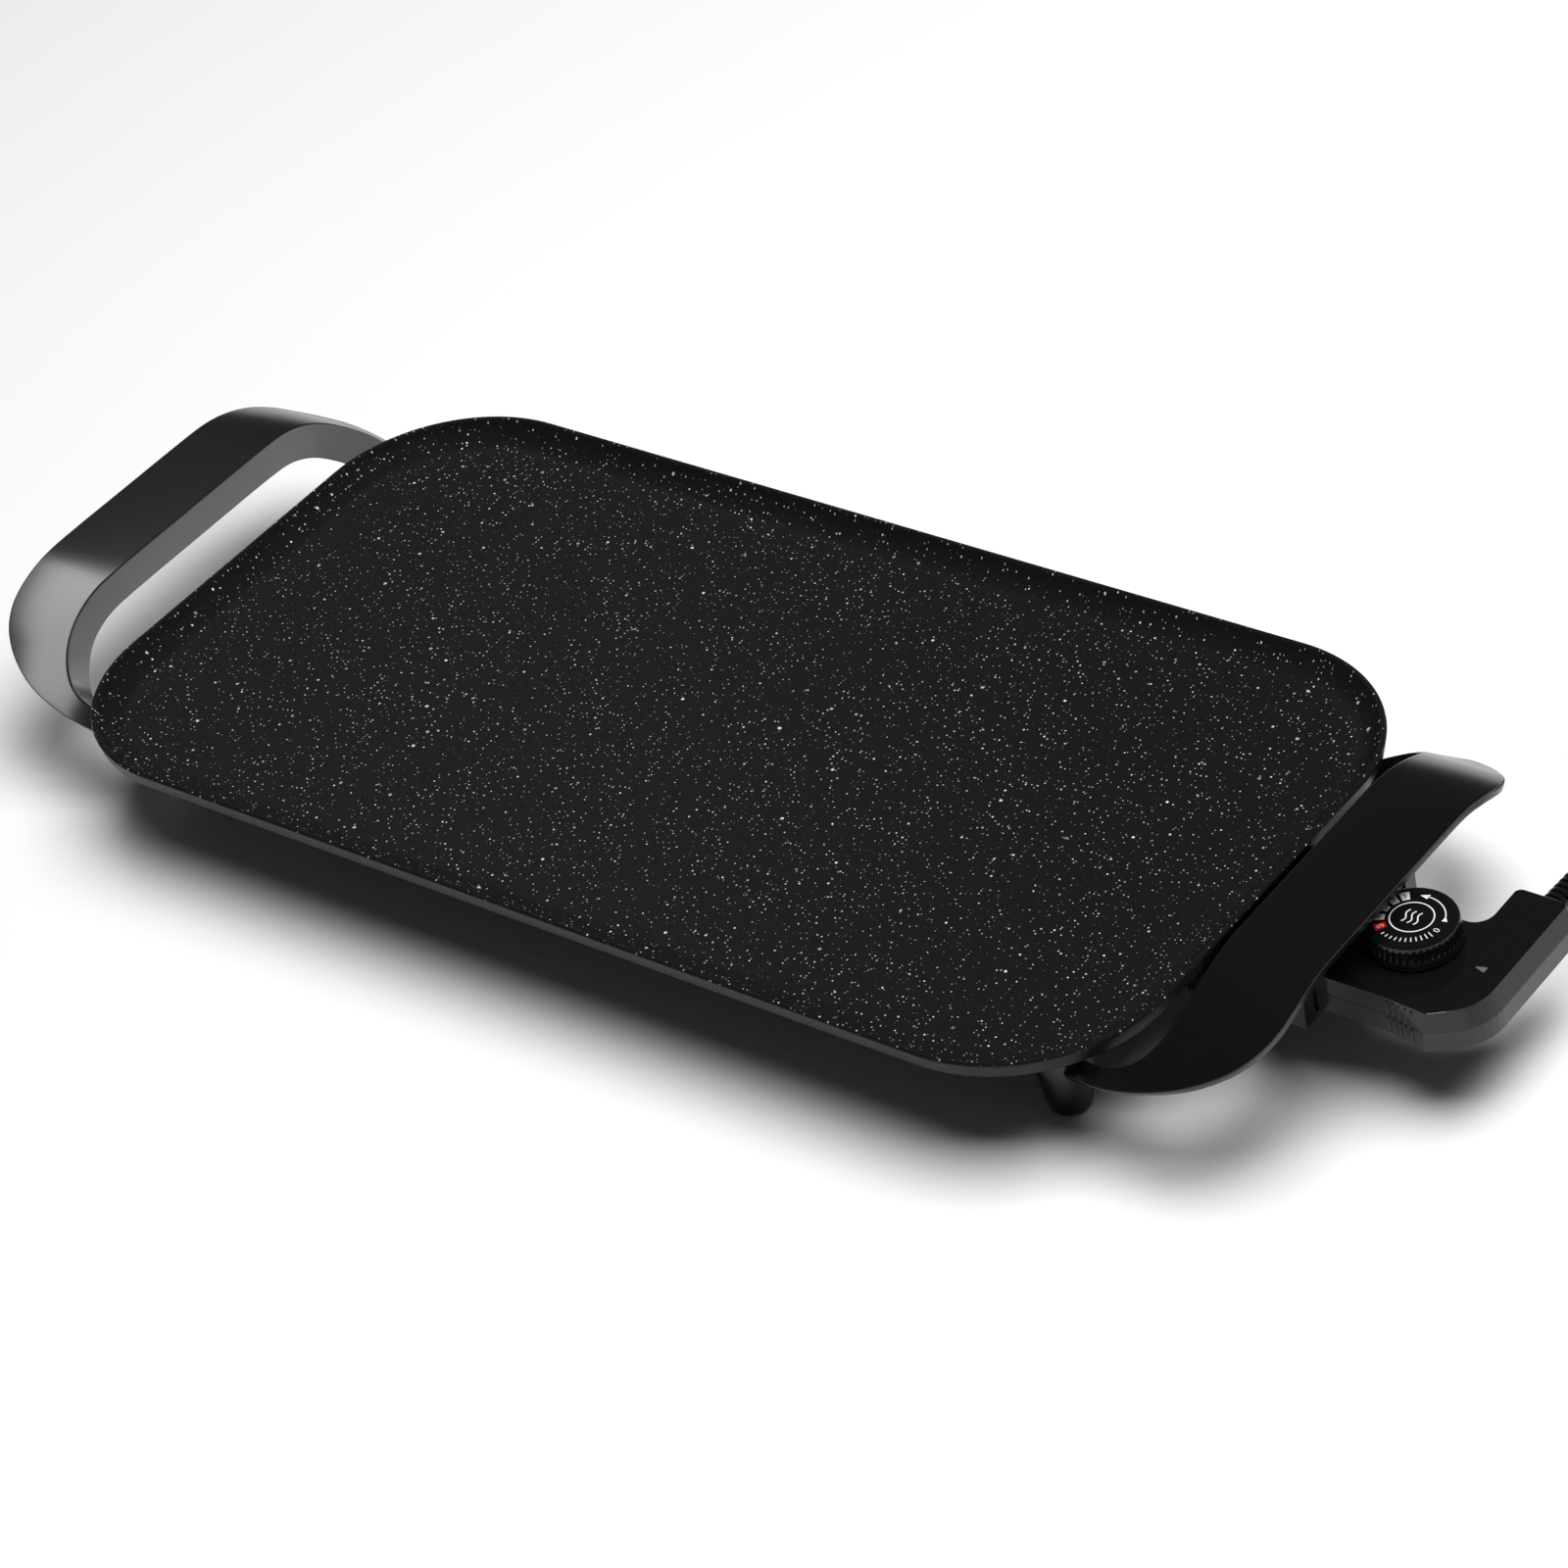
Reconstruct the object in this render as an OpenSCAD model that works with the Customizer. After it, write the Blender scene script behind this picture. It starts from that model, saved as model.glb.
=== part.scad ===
// Electric table griddle: a shallow cast plate on four feet, two arched strap handles, and a plug-in
// thermostat controller with a dial and a mains lead.
// Millimetres, +Z up. The origin is the centre of the flat cooking surface; X runs along the plate,
// with the controller at its +X end, and Y runs across it.

/* [Plate] */
// Length of the cooking plate over its lip
plate_l = 540; // [520:1:560]
// Width of the cooking plate over its lip
plate_w = 277; // [265:1:290]
// Corner radius of the lip in plan
corner_r = 70; // [60:1:75]
// Height of the lip above the cooking surface
lip_h = 8.5; // [7:0.5:10]
// Width of the sloping inner wall, from the lip's outer edge to the flat
wall_in = 17; // [15:0.5:19]
// Thickness of the cast floor
floor_t = 4; // [3.5:0.5:5]

/* [Standing height] */
// Height of the cooking surface above the table
stand_h = 45.5; // [43:0.5:50]
// Distance between the feet along the plate
feet_x = 462; // [450:1:470]
// Distance between the feet across the plate
feet_y = 178; // [170:1:184]

/* [Handles] */
// Overall length over both handles
overall_l = 659; // [650:1:670]
// Width of the handle strap at the top of the arch
strap_w = 41; // [36:1:43]
// Height of the arch above the cooking surface
arch_h = 29.5; // [27:0.5:32]
// Wall thickness of the strap
strap_t = 3.2; // [2.5:0.1:4]
// Depth of the strap's skirt on the plate's side
skirt_h = 16; // [12:0.5:18]

/* [Controller] */
// Half the width of the controller's nose
nose_half_w = 32.3; // [32:0.1:33]
// Height of the controller's top face above the cooking surface
ctrl_top = 6.3; // [6:0.1:6.6]
// Thickness of the controller over both housings
ctrl_h = 17.6; // [17.2:0.1:18]
// Wall thickness of the housings' sides
ctrl_wall = 2.2; // [1.8:0.1:2.4]
// Distance of the dial's axis from the plate's centre
dial_x = 336.5; // [336:0.5:337]
// Radius of the dial's foot ring
dial_r = 19; // [18.5:0.1:19.3]
// Height of the dial
dial_h = 11.7; // [10.5:0.1:13]

/* [Mains lead] */
// Diameter of the round mains lead
cord_d = 7; // [6.5:0.1:7]
// Length of the strain relief outside the housing
relief_l = 34; // [25:1:40]
// Radius of the stored coil at the middle of its turns
coil_r = 38; // [36:1:41]

/* [Hidden] */
$fn = 48;

fit = 0.05;                       // radial clearance of parts seated in one another
run_fit = 0.08;                   // radial clearance of parts that slide or turn
table_z = -stand_h;
half_l = plate_l / 2;
half_w = plate_w / 2;
foot_x = feet_x / 2;
foot_y = feet_y / 2;

// plate: lip and casting details
band_h = 7;                       // height of the lip's outer side
band_in = 1.2;                    // draft of that side
pan_in = 9;                       // inset of the pan's outer wall under the lip
lip_flat = 2.6;                   // width of the lip's rounded crown
boss_z = -10;                     // underside of the four foot bosses
boss_r = 11;
axis_z = -6.7;                    // height of the element, the terminal pins and the probe

// element and terminals
tube_r = 3.3;
pin_r = 2.2;
pin_y = 17;
probe_r = 2.9;
element_end_x = 250;
pin_end_x = 297;
probe_tip_x = 200;

// guard under the +X lip
guard_x0 = 236;
guard_x1 = 311;
guard_half_w = 40.5;
guard_in_half_w = 33.5;
guard_bottom = -15.5;
guard_top = 2;

// controller
ctrl_bottom = ctrl_top - ctrl_h;
seam_z = ctrl_bottom + ctrl_h / 2;
nose_x = 273;
arm_x0 = 355.5;
arm_x1 = 380.4;
arm_y = 43.5;
relief_x = 368;
clamp_dx = 5.4;
cavity_bottom = ctrl_bottom + 1.5;
cavity_top = ctrl_top - 2;
side_lean = 3.4;                  // how far the upper housing's outer side leans in
housing_screw_xy = [[281, -27], [281, 27], [371, -14], [349, -27]];
shaft_r = 3;

// mains lead
cord_r = cord_d / 2;
tie_t = 1.2;
coil_x = 342;
coil_y = 203;
coil_base = table_z + tie_t;
coil_outer = coil_r + 2 * cord_r;
coil_inner = coil_r - 2 * cord_r;
plug_r = 17.8;
plug_y = 248;
plug_l = 40;
plug_x = coil_x + coil_outer - cord_r;
plug_z = table_z + plug_r;

// Route of the lead from inside the arm, through the strain relief and down to the coil
lead_route = [
    [368, 31, -2.5], [368, 44, -2.5], [368, 60, -2.5], [368.3, 74, -3], [369.2, 88, -6],
    [370.6, 102, -13], [372.6, 114, -22], [375, 127, -31], [378.2, 142, -38], [381.2, 160, -40.5],
    [383, 180, -40.8], [383.5, 203, -40.8]
];
// Route of the lead from the coil's top turn to the plug
plug_route = [
    [383.5, 203, -26.8], [383.5, 216, -27.2], [383.5, 228, -27.7], [383.5, 240, -27.7],
    [383.5, 256, -27.7]
];
// Handle strap, plate to arch: outer edge and inner edge at each station of the +X handle's near half
strap_outer = [
    [240, -101, -18], [255, -107, -12.2], [270, -110, -7], [284, -110, -2.5], [297, -107.5, 1.8],
    [308.5, -102.5, 6], [318, -96, 10.6], [324.5, -88.5, 15.8], [328.3, -79, 20.9],
    [overall_l / 2, -67, 25.6], [overall_l / 2, -53, 28.8], [overall_l / 2, -34, arch_h],
    [overall_l / 2, 0, arch_h]
];
strap_inner = [
    [233, -89, -17], [244, -95.5, -11.5], [256, -100.5, -6.5], [267, -103, -1.5], [275, -102, 3],
    [281, -98, 8], [285.5, -91.5, 14], [288, -83.5, 19.8], [289, -74, 24.6], [289, -63, 28],
    [overall_l / 2 - strap_w, -50, 29.3], [overall_l / 2 - strap_w, -32, arch_h],
    [overall_l / 2 - strap_w, 0, arch_h]
];
// Routes of the leads inside the controller
live_route = [[301.1, 17, -6.7], [306, 17.5, -6], [315, 12, -2.5], [313, 7, -1.6], [308.5, 4, -1.6]];
feed_route = [
    [316, -4.75, -4.55], [322, -7.5, -2], [334, -9.5, 1.5], [348, -6, 2], [358, 4, 1.5],
    [363, 14, 0.5], [367, 24, 1], [368, 30, -0.2]
];
neutral_route = [
    [301.1, -17, -6.7], [312, -20, -5.5], [330, -23, -1], [346, -22, 0], [357, -12, 0],
    [364, 2, -1], [366, 16, -2], [366, 30, -2.5]
];
earth_route = [
    [313, -8.2, -8.5], [317, -8.6, -8], [323, -11, -5], [332, -13, -1.5], [347, -10, -4],
    [358, 2, -5], [366, 14, -5], [369.5, 23, -4], [370, 30, -2.5]
];

// ---------- geometry helpers ----------

function unit(v) = v / norm(v);
function shortest_turn(d) = d > 180 ? d - 360 : d < -180 ? d + 360 : d;

arc_steps = 7;
// Points of the arc of radius r that rounds the corner b between a and c
function corner_arc(a, b, c, r) =
    let (
        u = unit(a - b),
        v = unit(c - b),
        half = acos(u * v) / 2,
        m = b + unit(u + v) * r / sin(half),
        p = b + u * r / tan(half),
        q = b + v * r / tan(half),
        from = atan2(p.y - m.y, p.x - m.x),
        sweep = shortest_turn(atan2(q.y - m.y, q.x - m.x) - from)
    )
    [for (i = [0:arc_steps]) m + r * [cos(from + sweep * i / arc_steps), sin(from + sweep * i / arc_steps)]];

function plan(p) = [p.x, p.y];
// Outline from [x, y, corner radius] points, in anticlockwise order
function rounded(pts) =
    let (n = len(pts))
    [for (i = [0:n - 1])
        each corner_arc(plan(pts[(i + n - 1) % n]), plan(pts[i]), plan(pts[(i + 1) % n]), pts[i].z)];
// The same points moved inward by d, with their radii changed to suit
function inset(pts, d) =
    let (n = len(pts))
    [for (i = [0:n - 1])
        let (
            b = plan(pts[i]),
            e1 = unit(b - plan(pts[(i + n - 1) % n])),
            e2 = unit(plan(pts[(i + 1) % n]) - b),
            n1 = [-e1.y, e1.x],
            n2 = [-e2.y, e2.x],
            moved = b + (n1 + n2) * d / (1 + n1 * n2),
            convex = e1.x * e2.y - e1.y * e2.x > 0
        )
        [moved.x, moved.y, convex ? max(0.8, pts[i].z - d) : pts[i].z + d]];

// Point at t along a smooth curve through pts, where t = i is the point number i
function curve_at(pts, t) =
    let (
        last = len(pts) - 1,
        i = min(floor(t), last - 1),
        f = t - i,
        p0 = pts[max(i - 1, 0)],
        p1 = pts[i],
        p2 = pts[i + 1],
        p3 = pts[min(i + 2, last)]
    )
    0.5 * (2 * p1 + (p2 - p0) * f + (2 * p0 - 5 * p1 + 4 * p2 - p3) * f * f
        + (3 * p1 - p0 - 3 * p2 + p3) * f * f * f);

// Solid through a list of rings, each a closed loop of points
module skin(rings) {
    m = len(rings[0]);
    last = len(rings) - 1;
    points = [for (ring = rings) each ring];
    sides = [for (i = [0:last - 1], j = [0:m - 1])
        let (k = (j + 1) % m)
        each [[i * m + j, i * m + k, (i + 1) * m + k], [i * m + j, (i + 1) * m + k, (i + 1) * m + j]]];
    caps = [[for (j = [m - 1:-1:0]) j], [for (j = [0:m - 1]) last * m + j]];
    polyhedron(points, concat(sides, caps), convexity = 6);
}

// Round tube of radius r along a smooth curve through pts, with steps rings a point
module tube(pts, r, sides, steps) {
    last = len(pts) - 1;
    ts = [for (i = [0:last * steps]) i / steps];
    rings = [for (t = ts)
        let (
            back = curve_at(pts, max(t - 0.05, 0)),
            ahead = curve_at(pts, min(t + 0.05, last)),
            d = unit(ahead - back),
            side = unit(cross(d, [0.02, 0.01, 1])),
            up = cross(side, d)
        )
        [for (j = [0:sides - 1])
            curve_at(pts, t) + r * (cos(360 * j / sides) * side + sin(360 * j / sides) * up)]];
    skin(rings);
}

// Cylinder of radius r along +X from x0 to x1
module rod_x(r, x0, x1, y, z) {
    translate([x0, y, z]) rotate([0, 90, 0]) cylinder(r = r, h = x1 - x0);
}
// Cylinder of radius r along +Y from y0 to y1
module rod_y(r, y0, y1, x, z) {
    translate([x, y0, z]) rotate([-90, 0, 0]) cylinder(r = r, h = y1 - y0);
}
module at_feet() {
    for (x = [-foot_x, foot_x], y = [-foot_y, foot_y]) translate([x, y, 0]) children();
}
// Screw with its head at z = 0 and its shank upward
module screw(shank_r, shank_l, head_r, head_h) {
    difference() {
        cylinder(r = head_r, h = head_h);
        translate([0, 0, -0.1]) linear_extrude(head_h * 0.6) {
            square([head_r * 1.1, 0.7], center = true);
            square([0.7, head_r * 1.1], center = true);
        }
    }
    translate([0, 0, head_h - 0.1]) cylinder(r = shank_r, h = shank_l + 0.1);
}

// ---------- plate, element and feet ----------

// Half section of the lip and wall: x is the inset from the lip's outer edge
lip_profile = let (wall_r = ((wall_in - lip_flat) * (wall_in - lip_flat) + (lip_h - 0.5) * (lip_h - 0.5))
                       / (2 * (lip_h - 0.5)),
                   top_a = asin((wall_in - lip_flat) / wall_r))
    concat(
        [[0, lip_h - 1.3], [0.25, lip_h - 0.5], [0.8, lip_h - 0.1], [1.5, lip_h],
         [2.1, lip_h - 0.12]],
        [for (i = [0:9])
            [wall_in - wall_r * sin(top_a * (1 - i / 9)), wall_r - wall_r * cos(top_a * (1 - i / 9))]],
        [[wall_in + 6, 0], [wall_in + 6, -floor_t], [pan_in + 2, -floor_t], [pan_in + 0.6, -floor_t + 0.6],
         [pan_in, -floor_t + 2], [pan_in - 0.6, lip_h - band_h - 0.3], [band_in + 0.4, lip_h - band_h - 0.3],
         [band_in, lip_h - band_h + 0.1]]
    );

module lip_corner() {
    rotate_extrude(angle = 90, $fn = 96) polygon([for (p = lip_profile) [corner_r - p.x, p.y]]);
}
module lip_side(length) {
    rotate([90, 0, 0]) linear_extrude(length, center = true)
        polygon([for (p = lip_profile) [-p.x, p.y]]);
}
module pan() {
    cx = half_l - corner_r;
    cy = half_w - corner_r;
    for (a = [0, 180]) rotate(a) {
        translate([cx, cy, 0]) lip_corner();
        translate([-cx, cy, 0]) rotate(90) lip_corner();
        translate([half_l, 0, 0]) lip_side(2 * cy);
        translate([0, half_w, 0]) rotate(90) lip_side(2 * cx);
    }
    slab_in = wall_in + 3;
    translate([0, 0, -floor_t]) linear_extrude(floor_t) {
        square([2 * cx, plate_w - 2 * slab_in], center = true);
        square([plate_l - 2 * slab_in, 2 * cy], center = true);
        for (x = [-cx, cx], y = [-cy, cy]) translate([x, y]) circle(corner_r - slab_in, $fn = 96);
    }
}

// Channel of the element loop in plan: [centre, start angle] of its bends and the runs between them
bend_r = 25;
loop_y = 85;
loop_x = 205;
module loop_half(half_section_r) {
    // half a loop, from the terminal end to the middle of the far cross run
    rod_x(half_section_r, 232, element_end_x, pin_y, axis_z);
    translate([232, pin_y + bend_r, axis_z]) rotate(180) rotate_extrude(angle = 90)
        translate([bend_r, 0]) circle(half_section_r);
    rod_y(half_section_r, pin_y + bend_r, loop_y - bend_r, 232 - bend_r, axis_z);
    translate([232 - 2 * bend_r, loop_y - bend_r, axis_z]) rotate_extrude(angle = 90)
        translate([bend_r, 0]) circle(half_section_r);
    rod_x(half_section_r, bend_r - loop_x, 232 - 2 * bend_r, loop_y, axis_z);
    translate([bend_r - loop_x, loop_y - bend_r, axis_z]) rotate(90) rotate_extrude(angle = 90)
        translate([bend_r, 0]) circle(half_section_r);
    rod_y(half_section_r, 0, loop_y - bend_r, -loop_x, axis_z);
}
module loop(r) {
    loop_half(r);
    mirror([0, 1, 0]) loop_half(r);
}
module rib_2d() {
    rib_half = 7;
    for (s = [-1, 1]) {
        translate([232 - bend_r - rib_half, s > 0 ? pin_y + 10 : -loop_y - rib_half])
            square([2 * rib_half, loop_y + rib_half - pin_y - 10]);
        translate([-loop_x - rib_half, s > 0 ? loop_y - rib_half : -loop_y - rib_half])
            square([loop_x + 232 - bend_r, 2 * rib_half]);
        translate([210, s > 0 ? pin_y - rib_half : -pin_y - rib_half])
            square([element_end_x - 212, 2 * rib_half + 6]);
    }
    translate([-loop_x - rib_half, -loop_y]) square([2 * rib_half, 2 * loop_y]);
}

module griddle_plate() {
    color("#1b1b1d") difference() {
        union() {
            pan();
            at_feet() translate([0, 0, boss_z]) cylinder(r = boss_r, h = -boss_z - 1);
            translate([0, 0, axis_z - 0.8]) linear_extrude(-axis_z + 0.8 - 1) rib_2d();
            // bored block that holds the probe's tip against the floor
            translate([probe_tip_x - 6, -6.5, axis_z - probe_r - 2.2])
                cube([52, 13, -axis_z + probe_r + 1.2]);
        }
        loop(tube_r + fit);
        rod_x(probe_r + run_fit, probe_tip_x - 3, 262, 0, axis_z);
        at_feet() translate([0, 0, boss_z - 1]) cylinder(r = 2.1, h = 8.5);
        for (s = [-1, 1]) translate([243, s * 36, -9]) cylinder(r = 1.6, h = 7);
    }
}

module heating_element() {
    color("#8c8f92") loop(tube_r);
}

module terminal_pins() {
    color("#c9ccd0") for (s = [-1, 1]) {
        rod_x(pin_r, element_end_x, pin_end_x - 1.2, s * pin_y, axis_z);
        translate([pin_end_x - 1.2, s * pin_y, axis_z]) rotate([0, 90, 0])
            cylinder(r1 = pin_r, r2 = pin_r - 1, h = 1.2);
    }
}

module pin_insulators() {
    color("#e9e4d8") for (s = [-1, 1]) difference() {
        rod_x(tube_r + 1.2, element_end_x, element_end_x + 7, s * pin_y, axis_z - 2 + 0.1);
        rod_x(pin_r + fit, element_end_x - 1, element_end_x + 8, s * pin_y, axis_z);
        translate([element_end_x - 1, s * pin_y - 6, -floor_t - 0.02]) cube([9, 12, 6]);
    }
}

module socket_guard() {
    wall = guard_half_w - guard_in_half_w;
    color("#141415") difference() {
        union() {
            // side walls beyond the plate's edge, floor and back wall
            for (s = [-1, 1]) translate([half_l + 1, s * (guard_half_w - wall / 2) - wall / 2, guard_bottom])
                cube([guard_x1 - half_l - 1, wall, guard_top - guard_bottom]);
            translate([257, -guard_half_w, guard_bottom]) cube([guard_x1 - 257, 2 * guard_half_w, 2.5]);
            for (s = [-1, 1]) translate([257, s * (guard_half_w - wall / 2) - wall / 2, guard_bottom])
                cube([20, wall, -floor_t - 0.2 - guard_bottom]);
            translate([258.5, -guard_half_w, guard_bottom]) cube([3, 2 * guard_half_w, -floor_t - 0.2 - guard_bottom]);
            // two ears screwed under the plate
            for (s = [-1, 1]) translate([guard_x0, s * 36 - 4.5, -floor_t - 3.2]) cube([24, 9, 3]);
        }
        for (s = [-1, 1]) {
            rod_x(tube_r + 1.6, 250, 270, s * pin_y, axis_z - 1.9);
            translate([243, s * 36, -12]) cylinder(r = 1.8, h = 10);
        }
        rod_x(probe_r + 1.5, 250, 270, 0, axis_z);
        // drain slots in the floor
        for (y = [-22, 0, 22]) translate([275, y - 6, guard_bottom - 1]) cube([28, 12, 5]);
    }
}

module guard_screws() {
    color("#a9adb1") for (s = [-1, 1])
        translate([243, s * 36, -9.1]) screw(1.5, 5.2, 3, 1.8);
}

// ---------- handles and feet ----------

// One ring of the strap's section at station t: a flat top, a thin outer lip and a deep inner skirt
function strap_ring(t) =
    let (
        o = curve_at(strap_outer, t),
        i = curve_at(strap_inner, t),
        last = len(strap_outer) - 1,
        step = 0.05,
        mid_a = (curve_at(strap_outer, max(t - step, 0)) + curve_at(strap_inner, max(t - step, 0))) / 2,
        mid_b = (curve_at(strap_outer, min(t + step, last)) + curve_at(strap_inner, min(t + step, last))) / 2,
        along = unit(mid_b - mid_a),
        across = unit(o - i),
        w = norm(o - i),
        up = unit(cross(across, along)),
        depth = skirt_h * (0.6 + 0.4 * min(t / 4, 1)),
        outer = strap_t + 1.2,
        e = 1.4
    )
    [for (q = [
        [strap_t, -depth], [strap_t, -strap_t - 1], [strap_t + 1, -strap_t],
        [w - strap_t - 0.8, -strap_t], [w - strap_t, -outer], [w, -outer], [w, -e],
        [w - 0.3 * e, -0.3 * e], [w - e, 0], [e, 0], [0.3 * e, -0.3 * e], [0, -e], [0, -depth]])
        i + q.x * across + q.y * up];
strap_last = len(strap_outer) - 1;
strap_rings = [for (k = [0:2 * strap_last]) strap_ring(k / 2)];
mirrored_rings = [for (k = [len(strap_rings) - 2:-1:0]) [for (p = strap_rings[k]) [p.x, -p.y, p.z]]];

leg_top_r = 14.2;
leg_foot_r = 9;
leg_bottom = table_z + 1;
leg_slope = (leg_top_r - leg_foot_r) / (boss_z - leg_bottom);

// Tapered leg on its own axis, with the screw's passage and the pad's recess
module leg_solid() {
    rotate_extrude() polygon([
        [0, leg_bottom], [leg_foot_r - 1.6, leg_bottom], [leg_foot_r - 0.5, leg_bottom + 0.5],
        [leg_foot_r, leg_bottom + 1.6], [leg_top_r, boss_z - 0.1], [0, boss_z - 0.1]]);
}
module leg_hollow() {
    translate([0, 0, leg_bottom - 1]) cylinder(r = 5.2, h = 18);
    translate([0, 0, leg_bottom]) cylinder(r = 2.3, h = -leg_bottom);
}
module handle() {
    // one moulding, brought to its exact height from the leg's foot to the crown of the arch
    translate([0, 0, leg_bottom]) resize([0, 0, arch_h - leg_bottom]) translate([0, 0, -leg_bottom])
    difference() {
        union() {
            skin(concat(strap_rings, mirrored_rings));
            for (y = [-foot_y, foot_y]) translate([foot_x, y, 0]) leg_solid();
        }
        for (y = [-foot_y, foot_y]) translate([foot_x, y, 0]) leg_hollow();
    }
}
module right_handle() {
    color("#121213") handle();
}
module left_handle() {
    color("#121213") mirror([1, 0, 0]) handle();
}

module handle_screws() {
    color("#a9adb1") at_feet()
        translate([0, 0, leg_bottom + 17 - 2.6]) screw(2, boss_z - leg_bottom - 17 + 6.5, 4.4, 2.5);
}

module foot_pads() {
    color("#2a2a2b") at_feet() rotate_extrude() polygon([
        [0, table_z], [6, table_z], [6.8, table_z + 0.4], [7, leg_bottom - 0.02],
        [5.1, leg_bottom - 0.02], [5.1, leg_bottom + 8], [0, leg_bottom + 8]]);
}

// ---------- controller housings ----------

// Controller in plan: [x, y, corner radius]
outline = [
    [nose_x, -nose_half_w, 2], [344, -nose_half_w, 20], [361, -36, 1.5], [arm_x1, -24, 24],
    [arm_x1, arm_y, 2], [arm_x0, arm_y, 3], [arm_x0, 18.5, 8], [323, 18.5, 8],
    [312, nose_half_w, 5], [nose_x, nose_half_w, 2]
];
module ctrl_plan(d) {
    polygon(rounded(inset(outline, d)));
}
// The same outline at the top face: its outer side leans inward
top_outline = [
    [nose_x, -nose_half_w, 2], [345, -nose_half_w, 20], [361.5, -36 + side_lean * 0.8, 1.5],
    [arm_x1 - side_lean, -24 + side_lean * 0.6, 22], [arm_x1 - side_lean, arm_y, 2],
    [arm_x0, arm_y, 3], [arm_x0, 18.5, 8], [323, 18.5, 8], [312, nose_half_w, 5],
    [nose_x, nose_half_w, 2]
];
function ring_at(pts, z) = let (loop = rounded(pts)) [for (i = [len(loop) - 1:-1:0]) [loop[i].x, loop[i].y, z]];
// Upper shell's outside, with a small rounded edge round the top face
module leaning_shell() {
    edge = 0.7;
    near_top = [for (i = [0:len(outline) - 1])
        outline[i] + (top_outline[i] - outline[i]) * (1 - edge / (ctrl_top - seam_z))];
    skin([
        ring_at(outline, seam_z + 0.15), ring_at(near_top, ctrl_top - edge),
        ring_at(inset(top_outline, edge * 0.3), ctrl_top - edge * 0.3),
        ring_at(inset(top_outline, edge), ctrl_top)
    ]);
}

module upper_housing() {
    // one moulding, brought to its exact height from the seam to the top face
    low = seam_z + 0.15;
    color("#101011") translate([0, 0, low]) resize([0, 0, ctrl_top - low]) translate([0, 0, -low])
    difference() {
        union() {
            difference() {
                leaning_shell();
                translate([0, 0, seam_z - 1]) linear_extrude(cavity_top - seam_z + 1)
                    polygon(rounded(inset(top_outline, ctrl_wall - 0.4)));
            }
            for (p = housing_screw_xy) translate([p.x, p.y, seam_z + 0.15])
                cylinder(r = 3.2, h = cavity_top - seam_z + 0.5);
            translate([dial_x, 0, cavity_top - 2.5]) cylinder(r = 8, h = 3);
        }
        for (p = housing_screw_xy) translate([p.x, p.y, seam_z - 1]) cylinder(r = 1.5 + fit, h = 6.2);
        translate([dial_x, 0, -5]) cylinder(r = 5 + fit, h = 20);
        rod_y(5.2 + fit, arm_y - 8, arm_y + 2, relief_x, seam_z);
    }
}

module lower_housing() {
    color("#101011") difference() {
        union() {
            difference() {
                translate([0, 0, ctrl_bottom]) linear_extrude(seam_z - ctrl_bottom) ctrl_plan(0);
                translate([0, 0, cavity_bottom]) linear_extrude(ctrl_h) ctrl_plan(ctrl_wall);
            }
            for (p = housing_screw_xy) translate([p.x, p.y, ctrl_bottom + 1])
                cylinder(r = 3.2, h = seam_z - ctrl_bottom - 1);
            for (s = [-1, 1]) translate([relief_x + s * clamp_dx, 35.5, ctrl_bottom + 1])
                cylinder(r = 1.75, h = seam_z - ctrl_bottom - 1.1);
        }
        for (p = housing_screw_xy) {
            translate([p.x, p.y, ctrl_bottom - 1]) cylinder(r = 1.7, h = ctrl_h);
            translate([p.x, p.y, ctrl_bottom - 1]) cylinder(r = 3, h = 2.8);
        }
        for (s = [-1, 1]) {
            rod_x(2.9, nose_x - 1, nose_x + 4, s * pin_y, axis_z);
            translate([relief_x + s * clamp_dx, 35.5, seam_z - 6]) cylinder(r = 0.9 + fit, h = 8);
        }
        rod_x(probe_r + fit, nose_x - 1, nose_x + 4, 0, axis_z);
        rod_y(5.2 + fit, arm_y - 4, arm_y + 2, relief_x, seam_z);
    }
}

module housing_screws() {
    color("#b4b7ba") for (p = housing_screw_xy)
        translate([p.x, p.y, ctrl_bottom + 0.2]) screw(1.5, 11, 2.8, 1.5);
}

// ---------- inside the controller ----------

module terminal_block() {
    color("#5b3a26") difference() {
        translate([278, -22.5, cavity_bottom + 0.02]) cube([19, 45, 6.4]);
        for (s = [-1, 1]) rod_x(3 + fit, 270, 300, s * pin_y, axis_z);
        rod_x(probe_r + fit, 270, 300, 0, axis_z);
    }
}

module terminal_sockets() {
    color("#c9a64a") for (s = [-1, 1]) difference() {
        rod_x(3, nose_x + ctrl_wall + 0.3, 301, s * pin_y, axis_z);
        rod_x(pin_r + run_fit, nose_x, 299, s * pin_y, axis_z);
    }
}

module probe_rod() {
    color("#b9bcc0") {
        rod_x(probe_r, probe_tip_x + probe_r, 303, 0, axis_z);
        translate([probe_tip_x + probe_r, 0, axis_z]) sphere(r = probe_r);
    }
}

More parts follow.
